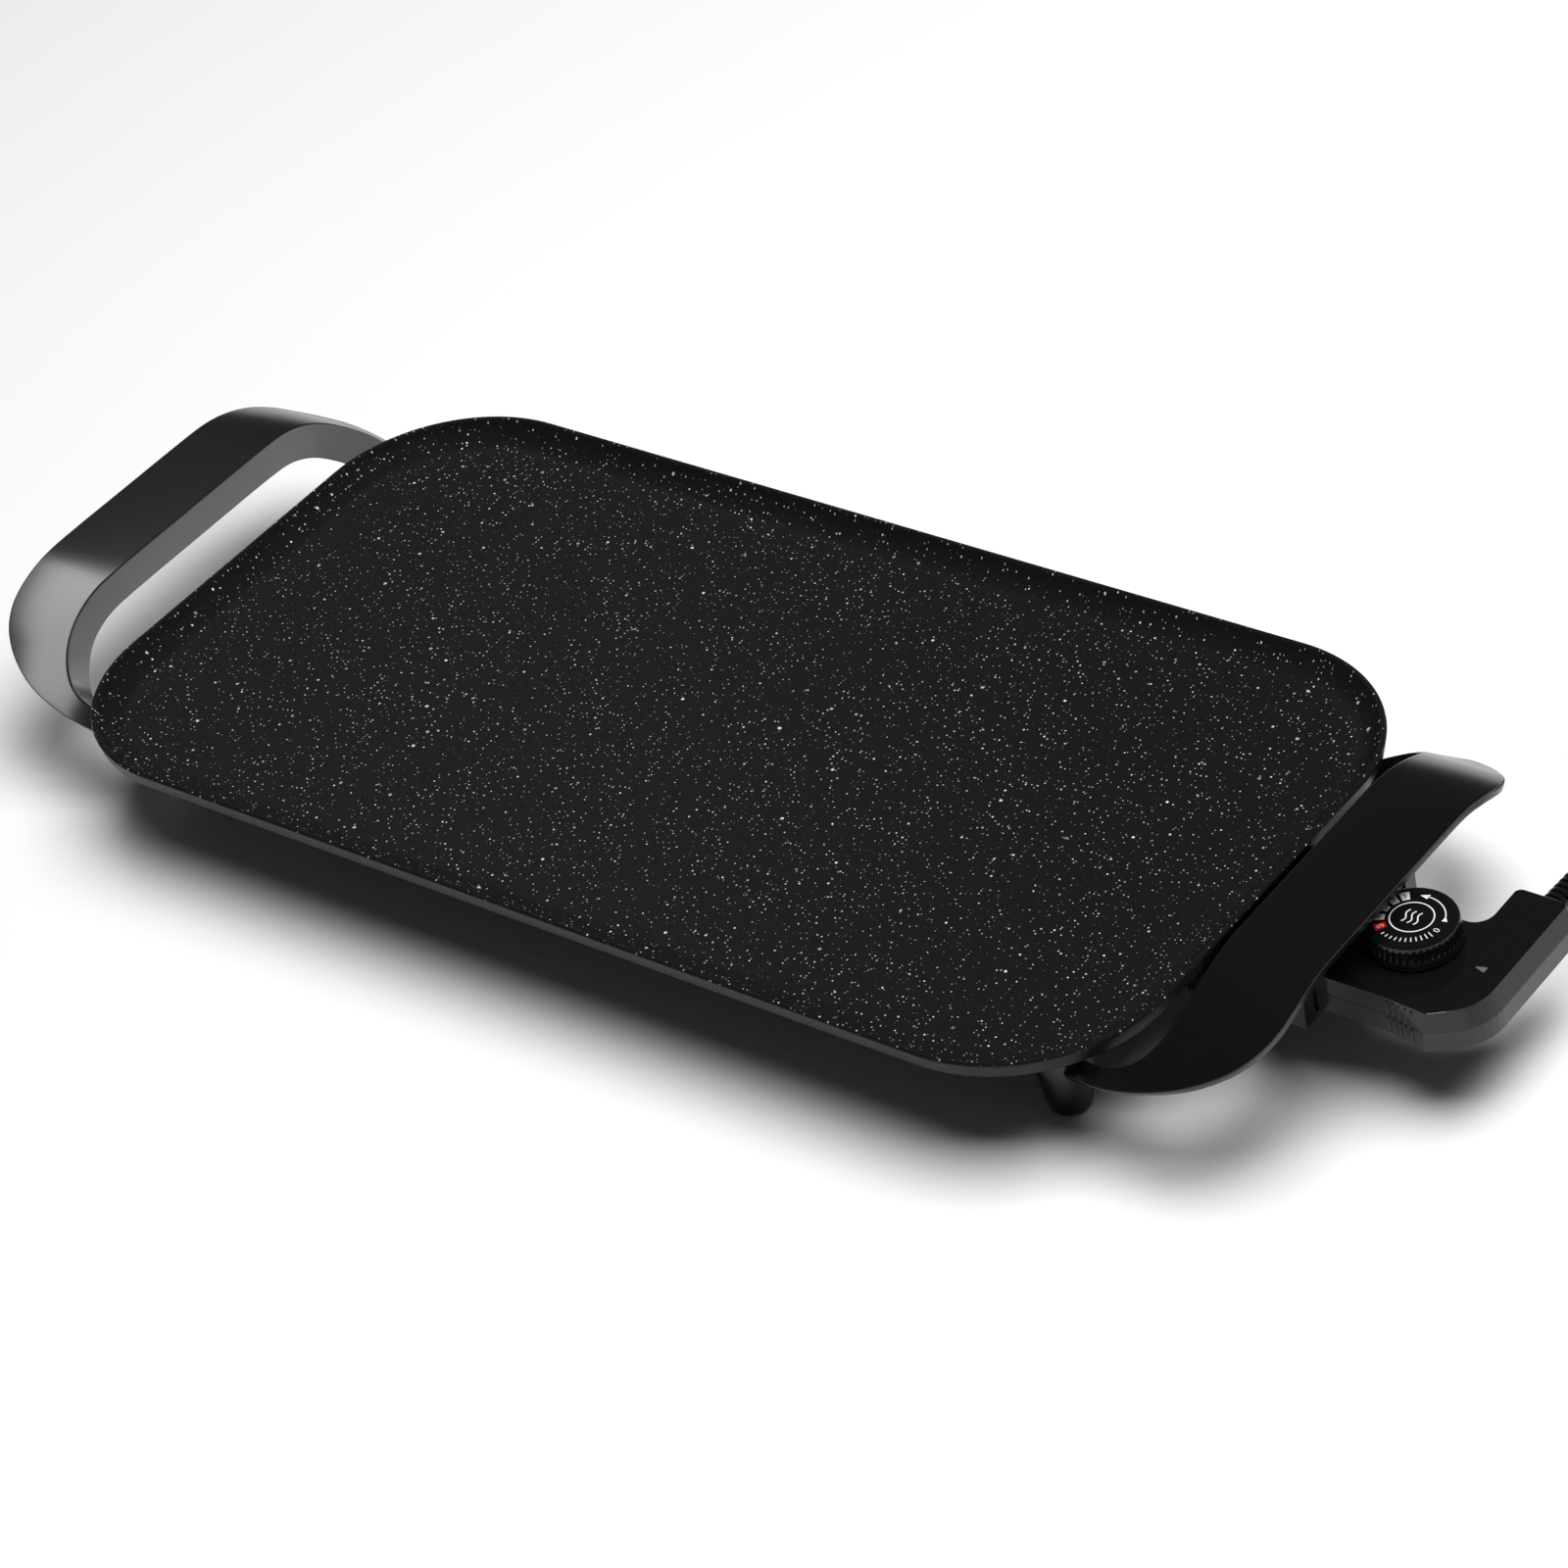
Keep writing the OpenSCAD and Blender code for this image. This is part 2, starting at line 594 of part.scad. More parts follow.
blade_x0 = 304;
module thermostat_frame() {
    color("#9ea2a6") {
        translate([blade_x0, -7, cavity_bottom + 0.02]) cube([40, 14, 1.2]);
        translate([blade_x0, -7, cavity_bottom + 0.1]) cube([1.2, 14, 8.5]);
    }
}
spacer_z = [-8.5, -6.4, -4.3];
module blade_spacers() {
    color("#e6e1d3") for (z = spacer_z)
        translate([blade_x0 + 1.3, -5, z]) cube([7, 10, z == -6.4 ? 1.55 : 1.45]);
}
module bimetal_blade() {
    color("#8f8672") translate([blade_x0 + 1.3, -4, -7]) cube([34, 8, 0.55]);
}
module contact_blade() {
    color("#b98b4f") translate([blade_x0 + 1.3, -3.5, -4.8]) cube([33, 7, 0.45]);
}
module silver_contacts() {
    color("#d5d8db") {
        translate([332, 0, -6.4]) cylinder(r = 1.6, h = 0.7);
        translate([332, 0, -5.6]) cylinder(r = 1.6, h = 0.75);
    }
}

module dial_bush() {
    color("#c9a64a") translate([dial_x, 0, 0]) difference() {
        union() {
            translate([0, 0, -1.5]) cylinder(r = 5, h = 9);
            translate([0, 0, -0.8]) cylinder(r = 7, h = 2.5);
        }
        translate([0, 0, -3]) cylinder(r = shaft_r + run_fit, h = 12);
    }
}

// Bridge that presses the lead into the arm, its two screws sunk under the upper shell
module cord_clamp() {
    color("#d9d9d6") difference() {
        translate([relief_x - 7.1, 32.5, seam_z]) cube([14.2, 6, 5.2]);
        rod_y(cord_r + fit, 30, 41, relief_x, seam_z);
        for (s = [-1, 1]) translate([relief_x + s * clamp_dx, 35.5, -10]) cylinder(r = 0.9 + fit, h = 20);
    }
}
module clamp_screws() {
    color("#b4b7ba") for (s = [-1, 1]) translate([relief_x + s * clamp_dx, 35.5, 0]) {
        translate([0, 0, seam_z + 5.25]) cylinder(r = 1.6, h = 1.1);
        translate([0, 0, seam_z - 5.2]) cylinder(r = 0.9, h = 10.5);
    }
}
module live_lead() {
    color("#7a4a2a") {
        tube(live_route, 1.1, 8, 3);
        tube(feed_route, 1.1, 8, 3);
    }
}
module neutral_lead() {
    color("#2f5fa8") tube(neutral_route, 1.1, 8, 3);
}
module earth_lead() {
    color("#6f9b3c") tube(earth_route, 1.1, 8, 3);
}

// ---------- dial ----------

knob_z = ctrl_top + 0.2;
knob_top = ctrl_top + dial_h;
flutes = 44;
module dial_knob() {
    color("#0e0e0f") translate([dial_x, 0, 0]) difference() {
        union() {
            translate([0, 0, knob_z]) cylinder(r = dial_r, h = 1.6);
            translate([0, 0, knob_z + 1.5]) linear_extrude(knob_top - knob_z - 3)
                polygon([for (i = [0:2 * flutes - 1])
                    (dial_r - (i % 2 == 0 ? 0.6 : 1.1)) * [cos(180 * i / flutes), sin(180 * i / flutes)]]);
            translate([0, 0, knob_top - 1.6]) cylinder(r1 = dial_r - 0.7, r2 = dial_r - 1.3, h = 1.6);
        }
        difference() {
            translate([0, 0, knob_z - 1]) cylinder(r = dial_r - 3.5, h = knob_top - knob_z - 1);
            translate([0, 0, ctrl_top + 1.6]) cylinder(r = 5.6, h = dial_h);
        }
        translate([0, 0, knob_z - 1]) cylinder(r = shaft_r + fit, h = dial_h - 2.5);
    }
}
module dial_shaft() {
    color("#b9bcc0") translate([dial_x, 0, -4]) cylinder(r = shaft_r, h = ctrl_top + dial_h - 3.5 + 4);
}

// ---------- mains lead ----------

module strain_relief() {
    grooves = 5;
    color("#161617") translate([relief_x, 0, seam_z]) rotate([-90, 0, 0]) difference() {
        rotate_extrude() polygon(concat(
            [[cord_r + fit, arm_y - 4], [5.2, arm_y - 4], [5.2, arm_y + 0.2], [6, arm_y + 0.2],
             [6, arm_y + 3]],
            [for (i = [0:grooves - 1], k = [0:3])
                let (y = 5 + i * 5.4 + [0, 1.2, 2.4, 3.6][k], r = 5.7 - 1.3 * y / relief_l)
                [r - (k == 1 || k == 2 ? 0.7 : 0), arm_y + y]],
            [[4.4, arm_y + relief_l - 1], [4.1, arm_y + relief_l], [cord_r + fit, arm_y + relief_l]]));
    }
}

module power_cord() {
    color("#131314") {
        tube(lead_route, cord_r, 10, 2);
        tube(plug_route, cord_r, 10, 1);
    }
}

module cord_coil() {
    color("#131314") translate([coil_x, coil_y, coil_base]) rotate_extrude($fn = 72)
        polygon(rounded([[coil_inner, 0, 3], [coil_outer, 0, 3], [coil_outer, 6 * cord_r, 3],
                         [coil_inner, 6 * cord_r, 3]]));
}

module cord_tie() {
    tie_w = 9;
    gap = 0.1;
    color("#1d1d1e") translate([coil_x - coil_r, coil_y, table_z]) difference() {
        translate([-2 * cord_r - tie_t - gap, -tie_w / 2, 0])
            cube([4 * cord_r + 2 * (tie_t + gap), tie_w, 6 * cord_r + 2 * tie_t + gap]);
        translate([-2 * cord_r - gap - 1, -tie_w, tie_t])
            cube([4 * cord_r + 2 * gap + 2, 2 * tie_w, 6 * cord_r + gap]);
    }
}

// Straight earthed plug: a round head with flat sides for the earth springs, and a slim grip
module plug_body() {
    color("#161617") translate([plug_x, plug_y, plug_z]) difference() {
        rotate([-90, 0, 0]) rotate_extrude() polygon([
            [cord_r + fit, 0], [5.4, 0], [5.8, 2], [7, 8], [11.5, 14], [13.2, 19], [14.2, 22],
            [plug_r - 0.6, 23.6], [plug_r, 25], [plug_r, plug_l - 1.2], [plug_r - 1.2, plug_l],
            [0, plug_l], [0, 12], [cord_r + fit, 12]]);
        for (s = [-1, 1]) {
            rod_y(2.2 + fit, 24, plug_l + 1, s * 9.5, 0);
            translate([-4, 27, s > 0 ? plug_r - 2 : -plug_r - 2]) cube([8, 20, 4]);
        }
    }
}
module plug_pins() {
    color("#c9ccd0") translate([plug_x, plug_y, plug_z]) for (s = [-1, 1]) {
        rod_y(2.2, 24.1, plug_l + 0.1, s * 9.5, 0);
        rod_y(2.4, plug_l + 0.02, plug_l + 16.6, s * 9.5, 0);
        translate([s * 9.5, plug_l + 16.6, 0]) sphere(r = 2.4);
    }
}
module plug_earth_clips() {
    color("#c9a64a") translate([plug_x, plug_y, plug_z]) for (s = [-1, 1])
        translate([-3, 27.1, s > 0 ? plug_r - 1.9 : -plug_r + 0.7]) cube([6, plug_l - 27.2, 1.2]);
}

griddle_plate();
heating_element();
terminal_pins();
pin_insulators();
socket_guard();
guard_screws();
left_handle();
right_handle();
handle_screws();
foot_pads();
lower_housing();
upper_housing();
housing_screws();
terminal_block();
terminal_sockets();
probe_rod();
thermostat_frame();
blade_spacers();
bimetal_blade();
contact_blade();
silver_contacts();
dial_bush();
cord_clamp();
clamp_screws();
live_lead();
neutral_lead();
earth_lead();
dial_shaft();
dial_knob();
strain_relief();
power_cord();
cord_coil();
cord_tie();
plug_body();
plug_pins();
plug_earth_clips();
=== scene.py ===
"""Electric table griddle: the looks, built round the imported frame. Metres, +Z up."""

import math

import bmesh
import bpy
from mathutils import Matrix, Vector


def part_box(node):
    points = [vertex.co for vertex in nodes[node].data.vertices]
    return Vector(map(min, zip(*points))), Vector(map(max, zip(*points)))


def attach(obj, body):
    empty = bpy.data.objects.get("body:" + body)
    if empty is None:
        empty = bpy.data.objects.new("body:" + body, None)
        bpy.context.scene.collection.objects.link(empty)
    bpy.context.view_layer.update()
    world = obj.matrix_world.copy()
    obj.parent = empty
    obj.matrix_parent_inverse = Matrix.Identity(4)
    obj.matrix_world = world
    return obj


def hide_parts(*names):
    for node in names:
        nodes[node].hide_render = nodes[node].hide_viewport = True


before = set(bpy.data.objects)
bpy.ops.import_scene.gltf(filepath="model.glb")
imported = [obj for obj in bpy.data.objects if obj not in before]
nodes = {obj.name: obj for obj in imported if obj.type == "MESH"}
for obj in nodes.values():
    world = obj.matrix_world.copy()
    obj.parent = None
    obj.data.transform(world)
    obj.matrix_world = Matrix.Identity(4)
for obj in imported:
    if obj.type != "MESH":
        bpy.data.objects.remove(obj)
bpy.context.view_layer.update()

MM = 0.001

# ---------- View, table and light ----------
# The griddle stands on a plain white table, seen from above its controller's corner through a long
# lens. One overhead box lights everything and is kept out of reflections, so level black faces look
# black. The other four light one piece each: two the left handle, one the plate, one the controller.

LIP_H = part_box("griddle_plate")[1].z
TABLE_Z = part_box("foot_pads")[0].z
VIEW_AZIMUTH, VIEW_ELEVATION, VIEW_ROLL = (math.radians(a) for a in (44.35, 37.27, -12.33))
VIEW_TARGET = Vector((0.0567, -0.0275, LIP_H))
VIEW_DISTANCE = 2.1195
VIEW_LENS = 120.88


def linear(hex_colour):
    """An sRGB hex colour as linear RGBA."""
    parts = [int(hex_colour[i:i + 2], 16) / 255 for i in (1, 3, 5)]
    return (*[c / 12.92 if c <= 0.04045 else ((c + 0.055) / 1.055) ** 2.4 for c in parts], 1)


def view_axes():
    """The camera's right, up and backward directions."""
    ca, sa = math.cos(VIEW_AZIMUTH), math.sin(VIEW_AZIMUTH)
    ce, se = math.cos(VIEW_ELEVATION), math.sin(VIEW_ELEVATION)
    cr, sr = math.cos(VIEW_ROLL), math.sin(VIEW_ROLL)
    back = Vector((sa * ce, -ca * ce, se))
    level_right = Vector((ca, sa, 0))
    level_up = back.cross(level_right)
    return level_right * cr + level_up * sr, level_up * cr - level_right * sr, back


def add_camera():
    data = bpy.data.cameras.new("view_camera")
    data.sensor_width = 36
    data.lens = VIEW_LENS
    data.clip_end = 50
    camera = bpy.data.objects.new("view_camera", data)
    bpy.context.scene.collection.objects.link(camera)
    right, up, back = view_axes()
    turn = Matrix((right, up, back)).transposed().to_4x4()
    camera.matrix_world = Matrix.Translation(VIEW_TARGET + back * VIEW_DISTANCE) @ turn
    bpy.context.scene.camera = camera


def add_node(material, kind, sockets=None, **settings):
    """Adds one shader node; sockets gives an input's value, or the output that feeds it."""
    tree = material.node_tree
    made = tree.nodes.new("ShaderNode" + kind)
    for name, value in settings.items():
        setattr(made, name, value)
    for key, value in (sockets or {}).items():
        if isinstance(value, bpy.types.NodeSocket):
            tree.links.new(value, made.inputs[key])
        else:
            made.inputs[key].default_value = value
    return made


def new_material(name, colour, roughness, metallic=0.0, ior=1.5):
    """A principled material with its plain values set; returns it and its shader."""
    material = bpy.data.materials.new(name)
    material.use_nodes = True
    shader = material.node_tree.nodes["Principled BSDF"]
    shader.inputs["Base Color"].default_value = linear(colour)
    shader.inputs["Roughness"].default_value = roughness
    shader.inputs["Metallic"].default_value = metallic
    shader.inputs["IOR"].default_value = ior
    return material, shader


def feed(material, shader, name, output):
    material.node_tree.links.new(output, shader.inputs[name])


def add_table():
    """A matt white laminate top; its faint mottle keeps it from looking like paper."""
    bpy.ops.mesh.primitive_plane_add(size=14, location=(0, 0, TABLE_Z))
    table = bpy.context.object
    table.name = "table_top"
    material, shader = new_material("white_laminate", "#f4f4f4", 0.55)
    where = add_node(material, "TexCoord").outputs["Object"]
    mottle = add_node(material, "TexNoise", {"Vector": where, "Scale": 3.0})
    tint = add_node(material, "MapRange", {"Value": mottle.outputs["Fac"], "To Min": 0.5, "To Max": 0.6})
    feed(material, shader, "Roughness", tint.outputs["Result"])
    table.data.materials.append(material)


def add_soft_box(name, place, target, width, height, watts, mirrored=True, only=None):
    """A rectangular soft box aimed at target, never itself in view. It shows in reflections if mirrored;
    only= lets it light nothing but the pieces of one collection."""
    data = bpy.data.lights.new(name, "AREA")
    data.shape = "RECTANGLE"
    data.size, data.size_y = width, height
    data.energy = watts
    light = bpy.data.objects.new(name, data)
    bpy.context.scene.collection.objects.link(light)
    light.location = place
    light.rotation_euler = (Vector(target) - Vector(place)).to_track_quat("-Z", "Y").to_euler()
    light.visible_camera = False
    light.visible_glossy = mirrored
    if only:
        light.light_linking.receiver_collection = only


def add_world():
    world = bpy.data.worlds.new("studio_air")
    world.use_nodes = True
    shade = world.node_tree.nodes["Background"]
    shade.inputs["Color"].default_value = linear("#ffffff")
    shade.inputs["Strength"].default_value = 0.05
    bpy.context.scene.world = world


add_camera()
add_table()
add_world()
bpy.context.scene.view_settings.view_transform = "Standard"
left_handle_light = bpy.data.collections.new("left_handle_light")
plate_light = bpy.data.collections.new("plate_light")
controller_light = bpy.data.collections.new("controller_light")
add_soft_box("overhead_box", (0.6, 0.3, 2.6), (0.1, 0, 0), 2.4, 2.4, 115, mirrored=False)
add_soft_box("left_box", (-0.86, -0.46, 0.72), (-0.86, -0.46, 0), 0.7, 1.56, 25, only=left_handle_light)
add_soft_box("skirt_card", (-0.2715, 0.03, 0.003), (-0.35, 0.03, 0.003), 0.24, 0.075, 0.125,
             only=left_handle_light)
add_soft_box("glow_box", (-1.2, 0.85, 1.2), (-0.2, -0.1, 0), 0.7, 0.5, 0.5, only=plate_light)
add_soft_box("front_low_box", (1.75, -1.75, 0.34), (0.3, -0.3, 0), 1.5, 0.5, 34, only=controller_light)

# ---------- Griddle plate ----------
# Pressure-cast aluminium tray with a rolled lip. Inside it carries a granite-look non-stick coating:
# satin near-black PTFE enamel with white and grey mineral specks; underneath it is plain cast skin.

PLATE_HALF_L, PLATE_HALF_W = (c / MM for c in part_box("griddle_plate")[1].xy)
CORNER_R = 70
RIM = LIP_H / MM
FEET = [(sx * 231, sy * 89) for sx in (-1, 1) for sy in (-1, 1)]


def mesh_piece(name, shape, material, crease=35, scale=1):
    """A mesh object from points and faces, smooth but for edges above the crease angle."""
    points, faces = shape
    mesh = bpy.data.meshes.new(name)
    mesh.from_pydata([tuple(p * scale) for p in points], [], faces)
    work = bmesh.new()
    work.from_mesh(mesh)
    bmesh.ops.recalc_face_normals(work, faces=work.faces)
    work.to_mesh(mesh)
    work.free()
    mesh.polygons.foreach_set("use_smooth", [True] * len(mesh.polygons))
    mesh.set_sharp_from_angle(angle=math.radians(crease))
    piece = bpy.data.objects.new(name, mesh)
    bpy.context.scene.collection.objects.link(piece)
    mesh.materials.append(material)
    return piece


def place_piece(piece, body, slot, *replaced):
    """Fixes a piece to its body and hides the CAD nodes that it stands for; slot, the finish's name, is not
    used.
    """
    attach(piece, body)
    if replaced:
        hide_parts(*replaced)
    return piece


def skin(rings, closed_ends=True):
    """Points and faces of a surface through rings of equal length, each a closed loop."""
    count = len(rings[0])
    points = [p for ring in rings for p in ring]
    faces = []
    for i in range(len(rings) - 1):
        for j in range(count):
            k = (j + 1) % count
            faces.append((i * count + j, i * count + k, (i + 1) * count + k, (i + 1) * count + j))
    if closed_ends:
        faces.append(tuple(reversed(range(count))))
        faces.append(tuple(range((len(rings) - 1) * count, len(rings) * count)))
    return points, faces


def turned(profile, centre, axis="z", steps=64):
    """Points and faces of a solid turned about an axis through centre, from (radius, height) pairs."""
    rings = []
    for radius, height in profile:
        ring = []
        for i in range(steps):
            a = 2 * math.pi * i / steps
            c, s = max(radius, 0.01 * MM) * math.cos(a), max(radius, 0.01 * MM) * math.sin(a)
            offset = {"z": (c, s, height), "y": (s, height, c), "x": (height, c, s)}[axis]
            ring.append(Vector(centre) + Vector(offset))
        rings.append(ring)
    return skin(rings)


def join(parts):
    """One list of points and faces from several."""
    points, faces = [], []
    for more_points, more_faces in parts:
        start = len(points)
        points += more_points
        faces += [tuple(start + i for i in face) for face in more_faces]
    return points, faces


def rounded_loop(corners, steps=8):
    """Closed plan outline, anticlockwise, from (x, y, corner radius) values."""
    loop = []
    for i, (x, y, radius) in enumerate(corners):
        here = Vector((x, y))
        back = (Vector(corners[i - 1][:2]) - here).normalized()
        ahead = (Vector(corners[(i + 1) % len(corners)][:2]) - here).normalized()
        half = back.angle(ahead) / 2
        middle = here + (back + ahead).normalized() * radius / math.sin(half)
        first = here + back * radius / math.tan(half) - middle
        last = here + ahead * radius / math.tan(half) - middle
        sweep = -first.angle_signed(last)
        for k in range(steps + 1):
            c, s = math.cos(sweep * k / steps), math.sin(sweep * k / steps)
            loop.append(middle + Vector((first.x * c - first.y * s, first.x * s + first.y * c)))
    return loop


def level(loop, z):
    """A plan outline lifted to height z."""
    return [Vector((p.x, p.y, z)) for p in loop]


def swept(section, path):
    """An (across, z) section carried along a plan path."""
    rings = []
    for i, here in enumerate(path):
        ahead, back = path[min(i + 1, len(path) - 1)], path[max(i - 1, 0)]
        along = (ahead - back).normalized()
        rings.append([Vector((here.x + along.y * a, here.y - along.x * a, z)) for a, z in section])
    return skin(rings)


def plate_ring(inset, z):
    x, y, r = PLATE_HALF_L - inset, PLATE_HALF_W - inset, CORNER_R - inset
    return level(rounded_loop([(x, -y, r), (x, y, r), (-x, y, r), (-x, -y, r)], 28), z)


def plate_casting():
    """Tray with its lip, and below it the bosses, the element's channel and the probe's block."""
    profile = [(32, -4), (11, -4), (10, -3.8), (9.3, -3.1), (9, -2), (8.4, 1.1), (7.8, 1.3), (2, 1.2),
               (1.5, 1.3), (1.2, 1.7), (0.1, 6.9), (0, 7.3), (0.1, 7.8), (0.45, 8.2), (0.95, 8.42),
               (1.5, 8.5), (2.1, 8.38)]
    wall, crown = 17, 2.6
    wall_r = ((wall - crown) ** 2 + (RIM - 0.5) ** 2) / (2 * (RIM - 0.5))
    top = math.asin((wall - crown) / wall_r)
    for i in range(15):
        a = top * (1 - i / 14)
        profile.append((wall - wall_r * math.sin(a), wall_r * (1 - math.cos(a))))
    profile += [(wall + 7, 0), (wall + 30, 0)]
    parts = [skin([plate_ring(inset, z) for inset, z in profile])]
    boss = [(0, -10), (8, -10), (10.4, -10), (10.9, -9.6), (11, -9), (11.3, -5.2), (12.2, -4.2), (13.5, -3.6)]
    parts += [turned(boss, (x, y, 0), "z", 48) for x, y in FEET]
    # raised channel of the element, its lips staked over the tube
    bends = [(207, 17, 25), (207, 85, 25), (-205, 85, 25), (-205, -85, 25), (207, -85, 25), (207, -17, 25)]
    loop = rounded_loop([(252, 17, 1)] + bends + [(252, -17, 1)], 10)
    path = loop[11:-11]
    path = [Vector((250, 17))] + path + [Vector((250, -17))]
    half = [(7.8, -3.6), (6.9, -6.6), (6.4, -7.3), (5.6, -7.5), (4.8, -7.6), (4.3, -8.3), (3.5, -8.4)]
    section = half + [(-a, z) for a, z in reversed(half)]
    parts.append(swept(section, path))
    block = rounded_loop([(194, -6.5, 4), (246, -6.5, 1.5), (246, 6.5, 1.5), (194, 6.5, 4)], 6)
    base = rounded_loop([(193, -7.5, 5), (246, -7.5, 2), (246, 7.5, 2), (193, 7.5, 5)], 6)
    low = rounded_loop([(194.8, -5.7, 3.4), (245.5, -5.7, 1.2), (245.5, 5.7, 1.2), (194.8, 5.7, 3.4)], 6)
    parts.append(skin([level(low, -11.8), level(block, -11), level(base, -3.6)]))
    return mesh_piece("plate_casting", join(parts), granite_coating(), 40, MM)


def speck_layer(material, where, cell, share, size):
    """Specks of up to size mm across in a share of the cells, each with its own brightness."""
    cells = add_node(material, "TexVoronoi", {"Vector": where, "Scale": 1 / (cell * MM)},
                     voronoi_dimensions="2D")
    lots = add_node(material, "SeparateColor", {"Color": cells.outputs["Color"]})
    radius = add_node(material, "MapRange", {"Value": lots.outputs["Red"], "From Min": 1 - share,
                                             "From Max": 1, "To Min": 0, "To Max": size / cell / 2})
    reach = add_node(material, "Math", {0: radius.outputs["Result"], 1: cells.outputs["Distance"]},
                     operation="SUBTRACT")
    spot = add_node(material, "MapRange", {"Value": reach.outputs["Value"], "From Min": 0,
                                           "From Max": 0.12 / cell, "To Min": 0, "To Max": 1})
    strength = add_node(material, "MapRange", {"Value": lots.outputs["Green"], "From Min": 0, "From Max": 1,
                                               "To Min": 0.15, "To Max": 1})
    return add_node(material, "Math", {0: spot.outputs["Result"], 1: strength.outputs["Result"]},
                    operation="MULTIPLY").outputs["Value"]


def granite_coating():
    """Near-black enamel with mineral specks from 0.3 to 2 mm; plain cast skin outside and below."""
    material, shader = new_material("granite_nonstick_satin", "#1a1a1c", 0.4)
    where = add_node(material, "TexCoord").outputs["Object"]
    wobble = add_node(material, "TexNoise", {"Vector": where, "Scale": 1 / (0.7 * MM), "Detail": 2.0})
    bent = add_node(material, "VectorMath", {0: wobble.outputs["Color"], 1: (0.35 * MM,) * 3, 2: where},
                    operation="MULTIPLY_ADD").outputs["Vector"]
    fine = speck_layer(material, bent, 2.2, 0.42, 0.8)
    middling = speck_layer(material, bent, 5.2, 0.4, 1.05)
    coarse = speck_layer(material, bent, 12.5, 0.3, 1.7)
    both = add_node(material, "Math", {0: fine, 1: middling}, operation="MAXIMUM").outputs["Value"]
    specks = add_node(material, "Math", {0: both, 1: coarse}, operation="MAXIMUM").outputs["Value"]
    # the coating ends just over the lip
    height = add_node(material, "SeparateXYZ", {"Vector": where})
    inside = add_node(material, "MapRange", {"Value": height.outputs["Z"], "From Min": -0.5 * MM,
                                             "From Max": -0.3 * MM, "To Min": 0, "To Max": 1})
    normal = add_node(material, "NewGeometry").outputs["Normal"]
    facing = add_node(material, "SeparateXYZ", {"Vector": normal})
    upward = add_node(material, "MapRange", {"Value": facing.outputs["Z"], "From Min": 0.3, "From Max": 0.5,
                                             "To Min": 0, "To Max": 1})
    upper = add_node(material, "Math", {0: inside.outputs["Result"], 1: upward.outputs["Result"]},
                     operation="MULTIPLY")
    shown = add_node(material, "Math", {0: specks, 1: upper.outputs["Value"]}, operation="MULTIPLY")
    cloud = add_node(material, "TexNoise", {"Vector": where, "Scale": 1 / (0.55 * MM), "Detail": 5.0,
                                            "Roughness": 0.7})
    ground = add_node(material, "Mix", {"Factor": cloud.outputs["Fac"], "A": linear("#0d0d0f"),
                                        "B": linear("#1b1b1d")}, data_type="RGBA")
    colour = add_node(material, "Mix", {"Factor": shown.outputs["Value"], "A": ground.outputs["Result"],
                                        "B": linear("#dcdcde")}, data_type="RGBA")
    feed(material, shader, "Base Color", colour.outputs["Result"])
    rough = add_node(material, "MapRange", {"Value": cloud.outputs["Fac"], "To Min": 0.3, "To Max": 0.44})
    feed(material, shader, "Roughness", rough.outputs["Result"])
    skin_height = add_node(material, "Math", {0: shown.outputs["Value"], 1: 0.4, 2: cloud.outputs["Fac"]},
                           operation="MULTIPLY_ADD")
    bump = add_node(material, "Bump", {"Height": skin_height.outputs["Value"], "Strength": 0.35,
                                       "Distance": 0.05 * MM})
    feed(material, shader, "Normal", bump.outputs["Normal"])
    shader.inputs["Specular IOR Level"].default_value = 0.2
    return material


plate_light.objects.link(place_piece(plate_casting(), "griddle", "coating", "griddle_plate"))

# ---------- Heating element and terminals ----------
# Incoloy-sheathed tube, blued by heat, pressed into the casting's channel. Its cold ends carry
# nickel-plated terminal pins through unglazed steatite collars.


def finish_cad(name, material, crease=30):
    """Gives a CAD node its material, and smooth shading up to the crease angle."""
    piece = nodes[name]
    piece.data.materials.clear()
    piece.data.materials.append(material)
    piece.data.polygons.foreach_set("use_smooth", [True] * len(piece.data.polygons))
    piece.data.set_sharp_from_angle(angle=math.radians(crease))
    return piece


def worked_metal(name, light, dark, smooth, coarse, grain, stretch=(1, 1, 1)):
    """Metal with patches between two colours and fine lines of grain mm, drawn out by stretch."""
    material, shader = new_material(name, light, smooth, metallic=1.0)
    where = add_node(material, "TexCoord").outputs["Object"]
    drawn = add_node(material, "VectorMath", {0: where, 1: stretch}, operation="MULTIPLY")
    lines = add_node(material, "TexNoise", {"Vector": drawn.outputs["Vector"], "Scale": 1 / (grain * MM),
                                            "Detail": 4.0})
    patches = add_node(material, "TexNoise", {"Vector": where, "Scale": 1 / (6 * MM), "Detail": 3.0})
    tint = add_node(material, "Mix", {"Factor": patches.outputs["Fac"], "A": linear(light),
                                      "B": linear(dark)}, data_type="RGBA")
    feed(material, shader, "Base Color", tint.outputs["Result"])
    rough = add_node(material, "MapRange", {"Value": lines.outputs["Fac"], "To Min": smooth,
                                            "To Max": coarse})
    feed(material, shader, "Roughness", rough.outputs["Result"])
    edge = add_node(material, "Bevel", {"Radius": 0.15 * MM}, samples=4)
    bump = add_node(material, "Bump", {"Height": lines.outputs["Fac"], "Strength": 0.2,
                                       "Distance": 0.02 * MM, "Normal": edge.outputs["Normal"]})
    feed(material, shader, "Normal", bump.outputs["Normal"])
    return material


